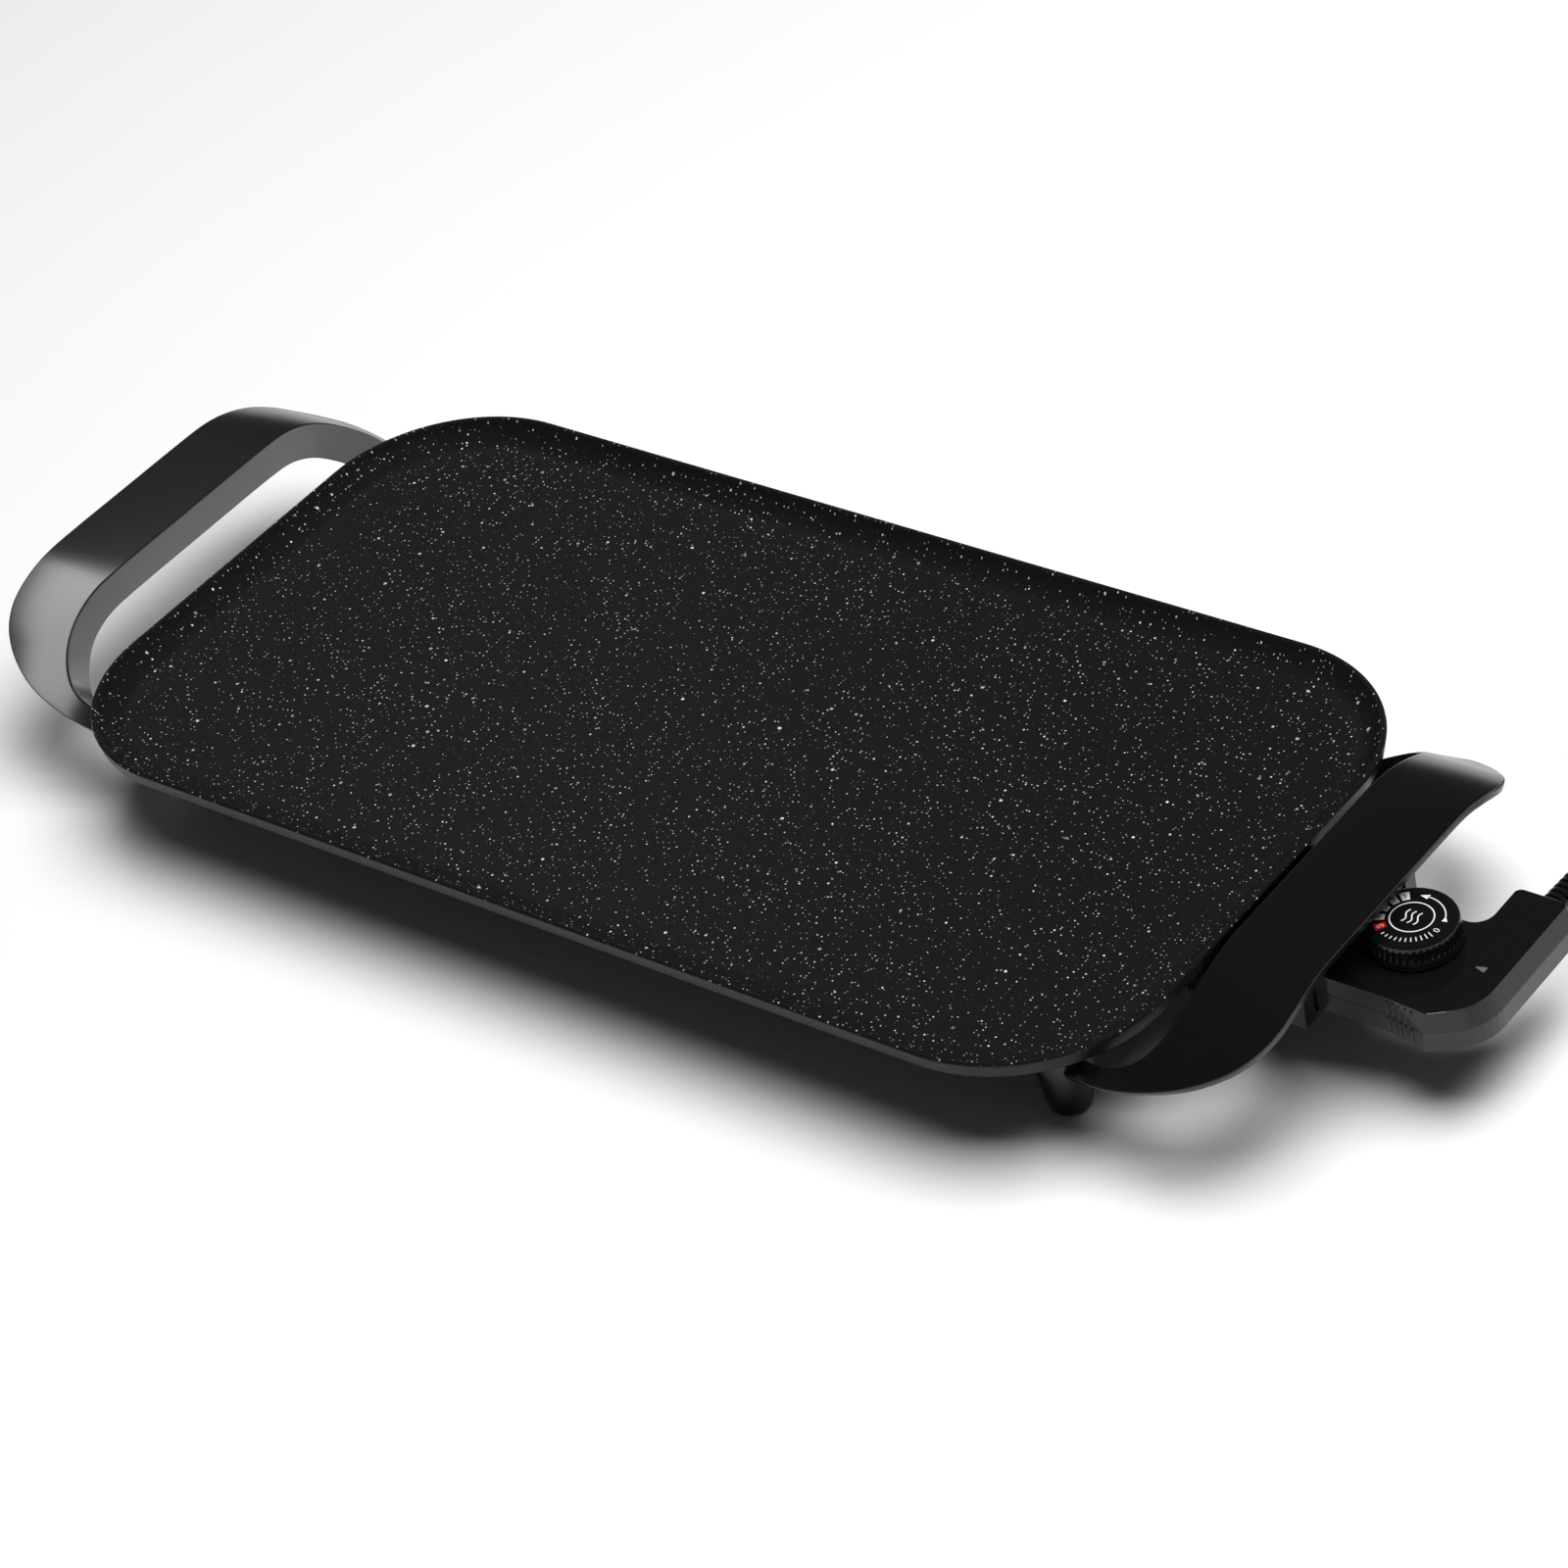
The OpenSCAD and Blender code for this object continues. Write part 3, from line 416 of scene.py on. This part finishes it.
def moulded(name, light, dark, smooth, coarse, grain, depth, edge_r=0.3, ior=1.5):
    """Moulded plastic, rubber or ceramic: a grain of grain mm, depth mm deep, and softened edges."""
    material, shader = new_material(name, light, smooth, ior=ior)
    where = add_node(material, "TexCoord").outputs["Object"]
    texture = add_node(material, "TexNoise", {"Vector": where, "Scale": 1 / (grain * MM), "Detail": 4.0})
    tint = add_node(material, "Mix", {"Factor": texture.outputs["Fac"], "A": linear(dark),
                                      "B": linear(light)}, data_type="RGBA")
    feed(material, shader, "Base Color", tint.outputs["Result"])
    rough = add_node(material, "MapRange", {"Value": texture.outputs["Fac"], "To Min": smooth,
                                            "To Max": coarse})
    feed(material, shader, "Roughness", rough.outputs["Result"])
    edge = add_node(material, "Bevel", {"Radius": edge_r * MM}, samples=4)
    bump = add_node(material, "Bump", {"Height": texture.outputs["Fac"], "Strength": 0.5,
                                       "Distance": depth * MM, "Normal": edge.outputs["Normal"]})
    feed(material, shader, "Normal", bump.outputs["Normal"])
    return material


nickel = worked_metal("nickel_plate_bright", "#c9cbcd", "#b9bbbe", 0.14, 0.3, 0.8, (0.15, 1, 1))
steatite = moulded("steatite_unglazed", "#e9e4d8", "#dcd5c6", 0.6, 0.8, 0.25, 0.03)
finish_cad("heating_element", worked_metal("incoloy_tube_heat_tinted", "#8c8f92", "#66635f", 0.32, 0.5, 0.5))
finish_cad("terminal_pins", nickel)
finish_cad("pin_insulators", steatite)

# ---------- Socket guard ----------
# Open-topped box of the same black phenolic as the handles, screwed under the plate. It keeps
# fingers off the terminal pins and steers the controller onto them.

phenolic = moulded("phenolic_black_satin", "#101011", "#0c0c0d", 0.18, 0.28, 0.5, 0.012, 0.35)
zinc = worked_metal("zinc_plate_bright", "#a9adb1", "#9a9ea3", 0.28, 0.42, 0.4)
finish_cad("socket_guard", phenolic)
finish_cad("guard_screws", zinc)

# ---------- Handles and feet ----------
# Each handle is one black phenolic moulding: two tapered legs, and between them a broad strap that
# rises to a flat arch, with a deep skirt towards the plate and a thin lip outside. Rubber pads below.

# outer and inner edge of the strap at each station, from the leg to the middle of the arch
STRAP_OUTER = [
    (240, -101, -18), (255, -107, -12.2), (270, -110, -7), (284, -110, -2.5), (297, -107.5, 1.8),
    (308.5, -102.5, 6), (318, -96, 10.6), (324.5, -88.5, 15.8), (328.3, -79, 20.9),
    (329.5, -67, 25.6), (329.5, -53, 28.8), (329.5, -34, 29.5), (329.5, 0, 29.5),
]
STRAP_INNER = [
    (233, -89, -17), (244, -95.5, -11.5), (256, -100.5, -6.5), (267, -103, -1.5), (275, -102, 3),
    (281, -98, 8), (285.5, -91.5, 14), (288, -83.5, 19.8), (289, -74, 24.6), (289, -63, 28),
    (288.5, -50, 29.3), (288.5, -32, 29.5), (288.5, 0, 29.5),
]
STRAP_T = 3.2
SKIRT_H = 16
LEG_PROFILE = [(5.3, -42), (5.3, -44.5), (7.2, -44.5), (8.2, -44.3), (8.8, -43.7), (9.05, -42.8),
               (14.1, -10.7), (13.9, -10.2), (13.4, -10.05), (2, -10.05)]


def curve_at(points, t):
    """Point on the smooth curve through points, where t counts the stations."""
    last = len(points) - 1
    i = min(int(t), last - 1)
    f = t - i
    a, b, c, d = (Vector(points[k]) for k in (max(i - 1, 0), i, i + 1, min(i + 2, last)))
    return (b * 2 + (c - a) * f + (a * 2 - b * 5 + c * 4 - d) * f ** 2 + (b * 3 - a - c * 3 + d) * f ** 3) / 2


def strap_ring(t):
    last, step = len(STRAP_OUTER) - 1, 0.05
    outer, inner = curve_at(STRAP_OUTER, t), curve_at(STRAP_INNER, t)
    t0, t1 = max(t - step, 0), min(t + step, last)
    along = (curve_at(STRAP_OUTER, t1) + curve_at(STRAP_INNER, t1)
             - curve_at(STRAP_OUTER, t0) - curve_at(STRAP_INNER, t0)).normalized()
    width = (outer - inner).length
    across = (outer - inner).normalized()
    up = across.cross(along).normalized()
    depth = SKIRT_H * (0.6 + 0.4 * min(t / 4, 1))
    lip, edge, wall = STRAP_T + 1.2, 1.3, STRAP_T
    turns = [math.radians(k * 18) for k in range(6)]
    arc = [(edge * (1 - math.cos(a)), -edge * (1 - math.sin(a))) for a in turns]
    outline = [(wall - 0.5, -depth), (wall, -depth + 0.5), (wall, -wall - 1.5), (wall + 0.4, -wall - 0.4),
               (wall + 1.5, -wall), (width - wall - 0.8, -wall), (width - wall, -lip + 0.2),
               (width - wall + 0.5, -lip), (width - 0.5, -lip), (width, -lip + 0.5)]
    outline += [(width - x, z) for x, z in arc] + [(width * 0.5, 0.12)]
    outline += [(x, z) for x, z in reversed(arc)] + [(0, -depth + 0.5), (0.5, -depth)]
    return [inner + across * x + up * z for x, z in outline]


def strap_handle(name, side, material):
    """The strap and its two legs; side is 1 for the controller's end and -1 for the other."""
    per_station = 5
    last = (len(STRAP_OUTER) - 1) * per_station
    half = [strap_ring(k / per_station) for k in range(last + 1)]
    rings = half + [[Vector((p.x, -p.y, p.z)) for p in ring] for ring in reversed(half[:-1])]
    parts = [skin(rings)]
    parts += [turned(LEG_PROFILE, (x, y, 0), "z", 64) for x, y in FEET if x > 0]
    points, faces = join(parts)
    return mesh_piece(name, ([Vector((p.x * side, p.y, p.z)) for p in points], faces), material, 32, MM)


place_piece(strap_handle("right_strap_handle", 1, phenolic), "griddle", "phenolic", "right_handle")
left_handle = place_piece(strap_handle("left_strap_handle", -1, phenolic), "griddle", "phenolic",
                          "left_handle")
left_handle_light.objects.link(left_handle)
finish_cad("handle_screws", zinc)
finish_cad("foot_pads", moulded("foot_rubber_matte", "#2a2a2b", "#1f1f20", 0.7, 0.9, 0.5, 0.04, 0.3))

# ---------- Controller housing ----------
# Two glossy black moulded shells that meet at mid height in a fine seam, screwed from below. The near
# wall has short finger ribs, and a small moulded arrow on top marks the dial's setting.

CTRL_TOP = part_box("upper_housing")[1].z / MM
CTRL_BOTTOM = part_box("lower_housing")[0].z / MM
SEAM_Z = -2.5

gloss = moulded("shell_black_gloss", "#0f0f10", "#0d0d0e", 0.1, 0.17, 2.5, 0.01, 0.45)
finish_cad("upper_housing", gloss)
finish_cad("lower_housing", gloss)
controller_light.objects.link(nodes["upper_housing"])
controller_light.objects.link(nodes["lower_housing"])
finish_cad("housing_screws", zinc)


def rounded_bar(x, low, high, half_w=0.55, half_d=0.5):
    """Upright finger rib between two points of the wall, with soft ends."""
    rings = []
    for f, size in ((0, 0.45), (0.04, 0.8), (0.1, 1), (0.9, 1), (0.96, 0.8), (1, 0.45)):
        y, z = low[0] + (high[0] - low[0]) * f, low[1] + (high[1] - low[1]) * f
        w, d, r = half_w * size, half_d * size, 0.3 * size
        corners = [(x - w, y - d, r), (x + w, y - d, r), (x + w, y + d, r), (x - w, y + d, r)]
        rings.append(level(rounded_loop(corners, 3), z))
    return skin(rings)


def shell_details():
    """Finger ribs on both halves of the near wall, and the crease where the top starts to fall."""
    parts = []
    for x in (343.5, 346.4, 349.3, 352.2, 355.1):
        foot = -32.3 - max(0, x - 344) * 0.218
        head = -32.3 - max(0, x - 345) * 0.06
        parts.append(rounded_bar(x, (foot, CTRL_BOTTOM + 1.6), (foot, SEAM_Z - 0.7)))
        up = (CTRL_TOP - 1.6 - SEAM_Z) / (CTRL_TOP - SEAM_Z)
        parts.append(rounded_bar(x, (foot + (head - foot) * 0.1, SEAM_Z + 0.9),
                                 (foot + (head - foot) * up, CTRL_TOP - 1.6)))
    path = []
    for k in range(17):
        a = math.radians(200 + k * 4.2)
        path.append(Vector((352 + 15 * math.cos(a), -17.5 + 12.5 * math.sin(a))))
    crease = [(0.9, CTRL_TOP - 0.2), (0.5, CTRL_TOP + 0.1), (0, CTRL_TOP + 0.22), (-0.5, CTRL_TOP + 0.1),
              (-0.9, CTRL_TOP - 0.2)]
    parts.append(swept(crease, path))
    return join(parts)


def setting_arrow():
    """Raised arrow head that points at the dial."""
    outline = [(364.2, -3.3, 0.3), (369.4, -5.0, 0.5), (369.4, -1.6, 0.5)]
    top = [(364.7, -3.3, 0.2), (369.1, -4.7, 0.4), (369.1, -1.9, 0.4)]
    return skin([level(rounded_loop(outline, 4), CTRL_TOP - 0.2),
                 level(rounded_loop(outline, 4), CTRL_TOP + 0.15),
                 level(rounded_loop(top, 4), CTRL_TOP + 0.28)])


place_piece(mesh_piece("shell_finger_ribs", shell_details(), gloss, 35, MM), "controller", "gloss_shell")
arrow_paint = moulded("paint_grey_satin", "#6a6a69", "#585858", 0.4, 0.5, 0.3, 0.01, 0.1)
place_piece(mesh_piece("setting_arrow", setting_arrow(), arrow_paint, 35, MM), "controller", "gloss_shell")

# ---------- Inside the controller ----------
# A stainless probe feels the plate; its heat bends the bimetal strip, which parts the silver contacts.
# Brass sockets in a brown phenolic block take the pins, and three insulated leads join them up.

bright_brass = worked_metal("brass_turned_bright", "#cba750", "#b08c3f", 0.2, 0.36, 0.5)
finish_cad("probe_rod", worked_metal("stainless_drawn", "#b9bcc0", "#a6a29b", 0.2, 0.36, 0.5, (0.1, 1, 1)))
finish_cad("terminal_block", moulded("phenolic_brown", "#5b3a26", "#4a2e1d", 0.4, 0.55, 0.4, 0.03))
finish_cad("terminal_sockets", bright_brass)
finish_cad("dial_bush", bright_brass)
finish_cad("thermostat_frame", worked_metal("steel_strip_plated", "#9ea2a6", "#8c9094", 0.3, 0.45, 0.4))
finish_cad("blade_spacers", steatite)
finish_cad("bimetal_blade",
           worked_metal("bimetal_strip_rolled", "#8f8672", "#7a7263", 0.32, 0.5, 0.4, (0.1, 1, 1)))
finish_cad("contact_blade",
           worked_metal("bronze_strip_rolled", "#b98b4f", "#a1773f", 0.25, 0.42, 0.4, (0.1, 1, 1)))
finish_cad("silver_contacts", worked_metal("silver_contact_bright", "#d5d8db", "#b9bbbd", 0.15, 0.3, 0.3))
finish_cad("cord_clamp", moulded("nylon_natural", "#d9d9d6", "#cfcfca", 0.45, 0.6, 0.4, 0.02))
finish_cad("clamp_screws", zinc)
for lead_name, light, dark in (("live", "#7a4a2a", "#6b3f23"), ("neutral", "#2f5fa8", "#28528f"),
                               ("earth", "#6f9b3c", "#c4b431")):
    finish_cad(lead_name + "_lead", moulded(lead_name + "_pvc_insulation", light, dark, 0.35, 0.5, 1.5, 0.02))

# ---------- Dial ----------
# Glossy black moulded knob with a knurled side over two fine rings. White and red marks are printed
# on top: a turning arrow, settings 1 to 5, a zero and a plain heat sign in a ring.

DIAL_X = 336.5
DIAL_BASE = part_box("dial_knob")[0].z / MM
DIAL_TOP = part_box("dial_knob")[1].z / MM
FLUTES = 44


def dial_knob():
    """Height over the base, radius and flute depth, ring by ring."""
    profile = [(0, 18.3, 0), (0.2, 18.8, 0), (0.5, 19, 0), (1.5, 19, 0), (1.75, 18.7, 0), (1.9, 18.35, 0),
               (2.05, 18.35, 0), (2.2, 18.7, 0), (2.4, 18.85, 0), (3.0, 18.8, 0), (3.2, 18.5, 0),
               (3.35, 18.1, 0), (3.5, 18.1, 0), (3.7, 18.4, 0.1), (4.0, 18.5, 0.55), (8.3, 18.3, 0.55),
               (8.6, 18.25, 0.2), (8.8, 18.3, 0), (10.2, 18.1, 0), (10.8, 17.95, 0), (11.2, 17.6, 0),
               (11.42, 17.1, 0), (11.5, 16.5, 0), (11.5, 14, 0)]
    steps = FLUTES * 6
    rings = []
    for height, radius, depth in profile:
        ring = []
        for i in range(steps):
            wave = (1, 0.85, 0.3, 0, 0.3, 0.85)[i % 6]
            r = radius - depth * (1 - wave)
            a = 2 * math.pi * i / steps
            ring.append(Vector((DIAL_X + r * math.cos(a), r * math.sin(a), DIAL_BASE + height)))
        rings.append(ring)
    return skin(rings)


def on_dial(radius, degrees):
    a = math.radians(degrees)
    return Vector((DIAL_X + radius * math.cos(a), radius * math.sin(a)))


def print_film(loop, lift=0.03):
    """A printed patch: a thin film of paint on the dial's top."""
    return skin([level(loop, DIAL_TOP - 0.05), level(loop, DIAL_TOP + lift)])


def arc_patch(r0, r1, a0, a1, steps=8):
    spans = [a0 + (a1 - a0) * k / steps for k in range(steps + 1)]
    return print_film([on_dial(r1, a) for a in spans] + [on_dial(r0, a) for a in reversed(spans)])


def stroke(points, width, lift=0.03):
    """A ribbon of paint along a line."""
    left, right = [], []
    for i, here in enumerate(points):
        along = (points[min(i + 1, len(points) - 1)] - points[max(i - 1, 0)]).normalized()
        side = Vector((-along.y, along.x)) * width / 2
        left.append(here + side)
        right.append(here - side)
    return print_film(left + right[::-1], lift)


# strokes of the figures in a box one wide and 1.6 high
FIGURES = {
    "0": [(0.5, 0), (0.12, 0.25), (0, 0.8), (0.12, 1.35), (0.5, 1.6), (0.88, 1.35), (1, 0.8),
          (0.88, 0.25), (0.5, 0)],
    "1": [(0.2, 1.2), (0.55, 1.6), (0.55, 0)],
    "2": [(0.05, 1.25), (0.3, 1.58), (0.75, 1.55), (0.95, 1.2), (0.8, 0.85), (0.05, 0.05), (1, 0.05)],
    "3": [(0.05, 1.58), (0.95, 1.58), (0.45, 0.95), (0.8, 0.85), (0.98, 0.45), (0.7, 0.03),
          (0.3, 0.03), (0, 0.3)],
    "4": [(0.75, 0), (0.75, 1.6), (0, 0.45), (1, 0.45)],
    "5": [(0.92, 1.55), (0.15, 1.55), (0.08, 0.85), (0.6, 1), (0.95, 0.55), (0.7, 0.05), (0.3, 0), (0, 0.2)],
}


def figure(mark, degrees, size, lift):
    """A figure on its setting, its head outward."""
    out = on_dial(1, degrees) - Vector((DIAL_X, 0))
    right = Vector((out.y, -out.x))
    middle = on_dial(12.6, degrees)
    line = [middle + (right * (x - 0.5) + out * (y - 0.8)) * size for x, y in FIGURES[mark]]
    return stroke(line, size * 0.26, lift)


def dial_marks():
    """White print, red print and the black figures over them."""
    white = [arc_patch(10.3, 14.9, a - 8, a + 8) for a in (133, 155, 179, 205)]
    red = [arc_patch(10.3, 14.9, 221, 237)]
    black = [figure(mark, a, 1.55, 0.05) for mark, a in zip("1234", (133, 155, 179, 205))]
    white.append(figure("5", 229, 1.55, 0.05))
    white.append(figure("0", -12, 1.5, 0.03))
    # the turning arrow: a broad foot, a tapering arc and a head
    spans = [13 + 80 * k / 24 for k in range(25)]
    outer = [on_dial(12.7 + 0.25 + 1.0 * max(0, 1 - k / 3), a) for k, a in enumerate(spans)]
    inner = [on_dial(12.7 - 0.25 - 0.9 * max(0, 1 - k / 3), a) for k, a in enumerate(spans)]
    white.append(print_film(outer + inner[::-1]))
    white.append(print_film([on_dial(14.1, 91), on_dial(12.75, 107), on_dial(11.3, 91)]))
    ring = [on_dial(8.5, a) for a in range(0, 361, 6)]
    white.append(stroke(ring, 0.55))
    for dx in (-2.6, 0, 2.6):
        wave = [Vector((DIAL_X + dx + 0.75 * math.sin(k * math.pi / 4), -3.6 + 0.9 * k)) for k in range(9)]
        white.append(stroke(wave, 0.55))
    for k in range(11):
        a = 248 + 8.6 * k
        white.append(arc_patch(12.9 - 0.16 * k, 14.3, a - 0.9, a + 0.9, 2))
    return join(white), join(red), join(black)


dial_plastic = moulded("dial_black_gloss", "#0e0e0f", "#0b0b0c", 0.2, 0.3, 1.2, 0.01, 0.12)
place_piece(mesh_piece("dial_knurled_knob", dial_knob(), dial_plastic, 32, MM), "dial", "dial_plastic",
            "dial_knob")
paints = ("#dfdfdd", "#c8141a", "#141414")
for mark_name, shape, paint in zip(("white", "red", "black"), dial_marks(), paints):
    film = moulded("print_" + mark_name, paint, paint, 0.35, 0.5, 0.2, 0.003, 0.05)
    place_piece(mesh_piece("dial_print_" + mark_name, shape, film, 35, MM), "dial", "dial_plastic")
finish_cad("dial_shaft", worked_metal("steel_turned", "#b9bcc0", "#a5a8ab", 0.2, 0.34, 0.4))

# ---------- Mains lead ----------
# Round three-core PVC lead, 7 mm thick, moulded into a ribbed strain relief at the controller's arm.
# It drops to the table and the rest is put away in a round coil of five turns, tied with a strap.

CORD_D = 7 * MM
LEAD_EXIT = Vector((368, 43.5, -2.5)) * MM
# from the arm through the strain relief and down to the coil
LEAD_ROUTE = [
    (368, 43.5, -2.5), (368, 52, -2.5), (368, 60, -2.5), (368.3, 74, -3), (369.2, 88, -6), (370.6, 102, -13),
    (372.6, 114, -22), (375, 127, -31), (378.2, 142, -38), (381.2, 160, -40.5), (383, 180, -40.8),
]
# from the coil's top turn to the plug
PLUG_ROUTE = [(383.5, 216, -27.2), (383.5, 228, -27.7), (383.5, 240, -27.7), (383.5, 248, -27.7)]
COIL_STEPS = 18


def coil_points():
    """Five turns: outer and inner on the first two layers, outer again on the third."""
    low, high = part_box("cord_coil")
    centre = (low + high) / 2
    outer = (high.x - low.x) / 2 - CORD_D / 2
    turns = [(outer, 0), (outer - CORD_D, 0), (outer - CORD_D, 1), (outer, 1), (outer, 2)]
    points = []
    for index, (radius, layer) in enumerate(turns):
        before = turns[max(index - 1, 0)]
        for step in range(COIL_STEPS):
            # a turn moves over to its own radius and layer in its first third
            t = min(step / (COIL_STEPS / 3), 1)
            r = before[0] + (radius - before[0]) * t
            z = low.z + CORD_D * (0.5 + before[1] + (layer - before[1]) * t)
            angle = 2 * math.pi * step / COIL_STEPS
            points.append(Vector((centre.x + r * math.cos(angle), centre.y + r * math.sin(angle), z)))
    points.append(Vector((centre.x + outer, centre.y, low.z + 2.5 * CORD_D)))
    return points


def curve_piece(name, points, radius, material):
    """A round cord along a smooth open curve through points."""
    data = bpy.data.curves.new(name, "CURVE")
    data.dimensions = "3D"
    data.bevel_depth = radius
    data.bevel_resolution = 5
    data.resolution_u = 5
    data.use_fill_caps = True
    spline = data.splines.new("BEZIER")
    spline.bezier_points.add(len(points) - 1)
    for place, point in zip(spline.bezier_points, points):
        place.co = point
        place.handle_left_type = place.handle_right_type = "AUTO"
    piece = bpy.data.objects.new(name, data)
    bpy.context.scene.collection.objects.link(piece)
    data.materials.append(material)
    return piece


def cord_pvc():
    """Extruded PVC: satin black, with a faint drawn grain that breaks up its highlight."""
    material, shader = new_material("cord_pvc_satin", "#101011", 0.36)
    where = add_node(material, "TexCoord").outputs["Object"]
    grain = add_node(material, "TexNoise", {"Vector": where, "Scale": 1 / (1.2 * MM), "Detail": 3.0})
    rough = add_node(material, "MapRange", {"Value": grain.outputs["Fac"], "To Min": 0.3, "To Max": 0.44})
    feed(material, shader, "Roughness", rough.outputs["Result"])
    bump = add_node(material, "Bump", {"Height": grain.outputs["Fac"], "Strength": 0.15,
                                       "Distance": 0.05 * MM})
    feed(material, shader, "Normal", bump.outputs["Normal"])
    return material


def strain_relief():
    """Soft moulded sleeve: a collar at the arm, then tapered ribs; the sleeve is built straight."""
    low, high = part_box("strain_relief")
    length = high.y - arm_end
    profile = [(3.55 * MM, low.y), (5.2 * MM, low.y), (5.2 * MM, arm_end), (5.7 * MM, arm_end),
               (6.0 * MM, arm_end + 0.4 * MM), (6.0 * MM, arm_end + 2.6 * MM), (5.6 * MM, arm_end + 3.2 * MM)]
    ribs = 8
    for i in range(ribs):
        at = arm_end + 4.2 * MM + i * (length - 6 * MM) / ribs
        crest = 5.6 * MM - 1.25 * MM * i / ribs
        for step, drop in ((0, 0.9), (0.25, 0.9), (0.55, 0.1), (0.9, 0), (1.9, 0), (2.4, 0.1), (2.8, 0.9)):
            profile.append((crest - drop * MM, at + step * MM))
    profile += [(4.3 * MM, high.y - 1.0 * MM), (4.1 * MM, high.y - 0.3 * MM), (3.9 * MM, high.y),
                (3.55 * MM, high.y)]
    centre = Vector((LEAD_EXIT.x, 0, LEAD_EXIT.z))
    return mesh_piece("strain_relief_sleeve", turned(profile, centre, "y", 40), cord_material)


arm_end = LEAD_EXIT.y
cord_material = cord_pvc()
lead_points = [Vector(p) * MM for p in LEAD_ROUTE] + coil_points() + [Vector(p) * MM for p in PLUG_ROUTE]
lead = curve_piece("mains_lead", lead_points, CORD_D / 2, cord_material)
place_piece(lead, "controller", "cord_pvc", "power_cord", "cord_coil")
sleeve = place_piece(strain_relief(), "controller", "cord_pvc", "strain_relief")


def woven_strap():
    """Hook and loop tape: a close black weave that scatters light at its edges."""
    material, shader = new_material("hook_loop_weave", "#18181a", 0.85)
    where = add_node(material, "TexCoord").outputs["Object"]
    warp = add_node(material, "TexWave", {"Vector": where, "Scale": 1 / (2.4 * MM), "Distortion": 0.4})
    weft = add_node(material, "TexWave", {"Vector": where, "Scale": 1 / (2.4 * MM), "Distortion": 0.4},
                    bands_direction="Z")
    weave = add_node(material, "Math", {0: warp.outputs["Fac"], 1: weft.outputs["Fac"]}, operation="MAXIMUM")
    bump = add_node(material, "Bump", {"Height": weave.outputs["Value"], "Strength": 0.6,
                                       "Distance": 0.2 * MM})
    feed(material, shader, "Normal", bump.outputs["Normal"])
    return material


def cord_tie():
    """A strap wrapped once round the coil's bundle, with its free end lapped over on top."""
    low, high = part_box("cord_tie")
    cx, thick, width = (low.x + high.x) / 2, 1.1 * MM, (high.y - low.y)
    half_w = (high.x - low.x) / 2 - thick
    inner_low, inner_high = low.z + thick, high.z - thick - 0.6 * MM
    corner = 3.2 * MM
    path = []
    for sx, sz, start in ((1, 1, 0), (-1, 1, 90), (-1, -1, 180), (1, -1, 270)):
        mx = cx + sx * (half_w - corner)
        mz = (inner_high if sz > 0 else inner_low) - sz * corner
        for step in range(7):
            a = math.radians(start + step * 15)
            path.append((mx, mz, math.cos(a), math.sin(a), corner))
    path += path[:9]
    rings = []
    for index, (mx, mz, c, s, r) in enumerate(path):
        lift = thick * 0.45 if index >= len(path) - 10 else 0
        ring = []
        for y, out in ((-1, 0), (1, 0), (1, 1), (-1, 1)):
            reach = r + lift + out * thick * 0.5
            ring.append(Vector((mx + reach * c, (low.y + high.y) / 2 + y * width / 2, mz + reach * s)))
        rings.append(ring)
    return mesh_piece("cord_tie_strap", skin(rings), woven_strap(), 50)


tie = place_piece(cord_tie(), "controller", "tie_strap", "cord_tie")

# ---------- Plug ----------
# Straight earthed mains plug: a PVC body moulded over the lead, with two nickel-plated round pins
# and a sprung brass earth strip let into each flat side.


def plug_body():
    """Turned grip and head, with shallow grip rings and the recesses for the earth strips."""
    low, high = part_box("plug_body")
    centre = Vector(((low.x + high.x) / 2, low.y, (low.z + high.z) / 2))
    head = (high.x - low.x) / 2
    length = high.y - low.y
    profile = [(3.6 * MM, 0), (5.0 * MM, 0), (5.4 * MM, 0.4 * MM), (5.8 * MM, 2 * MM), (7 * MM, 8 * MM)]
    for i in range(4):
        at, radius = 9.5 * MM + 2.6 * MM * i, 8.6 * MM + 1.25 * MM * i
        profile += [(radius - 0.9 * MM, at), (radius, at + 0.5 * MM), (radius + 0.2 * MM, at + 1.4 * MM),
                    (radius - 0.5 * MM, at + 2.0 * MM)]
    profile += [(13.2 * MM, 20 * MM), (14.2 * MM, 22 * MM), (head - 0.9 * MM, 23.4 * MM),
                (head - 0.3 * MM, 24 * MM), (head, 25 * MM), (head, length - 1.4 * MM),
                (head - 0.4 * MM, length - 0.5 * MM), (head - 1.3 * MM, length), (0, length)]
    points, faces = turned(profile, centre, "y", 72)
    recess_half = 4.2 * MM
    floor = head - 1.95 * MM
    for p in points:
        dx, dz = p.x - centre.x, p.z - centre.z
        if abs(dx) < recess_half and abs(dz) > floor and p.y > centre.y + 25.5 * MM:
            p.z = centre.z + math.copysign(floor, dz)
    return mesh_piece("plug_moulding", (points, faces), cord_material, 30)


plug = place_piece(plug_body(), "controller", "cord_pvc", "plug_body")
finish_cad("plug_pins", nickel)
finish_cad("plug_earth_clips", bright_brass)
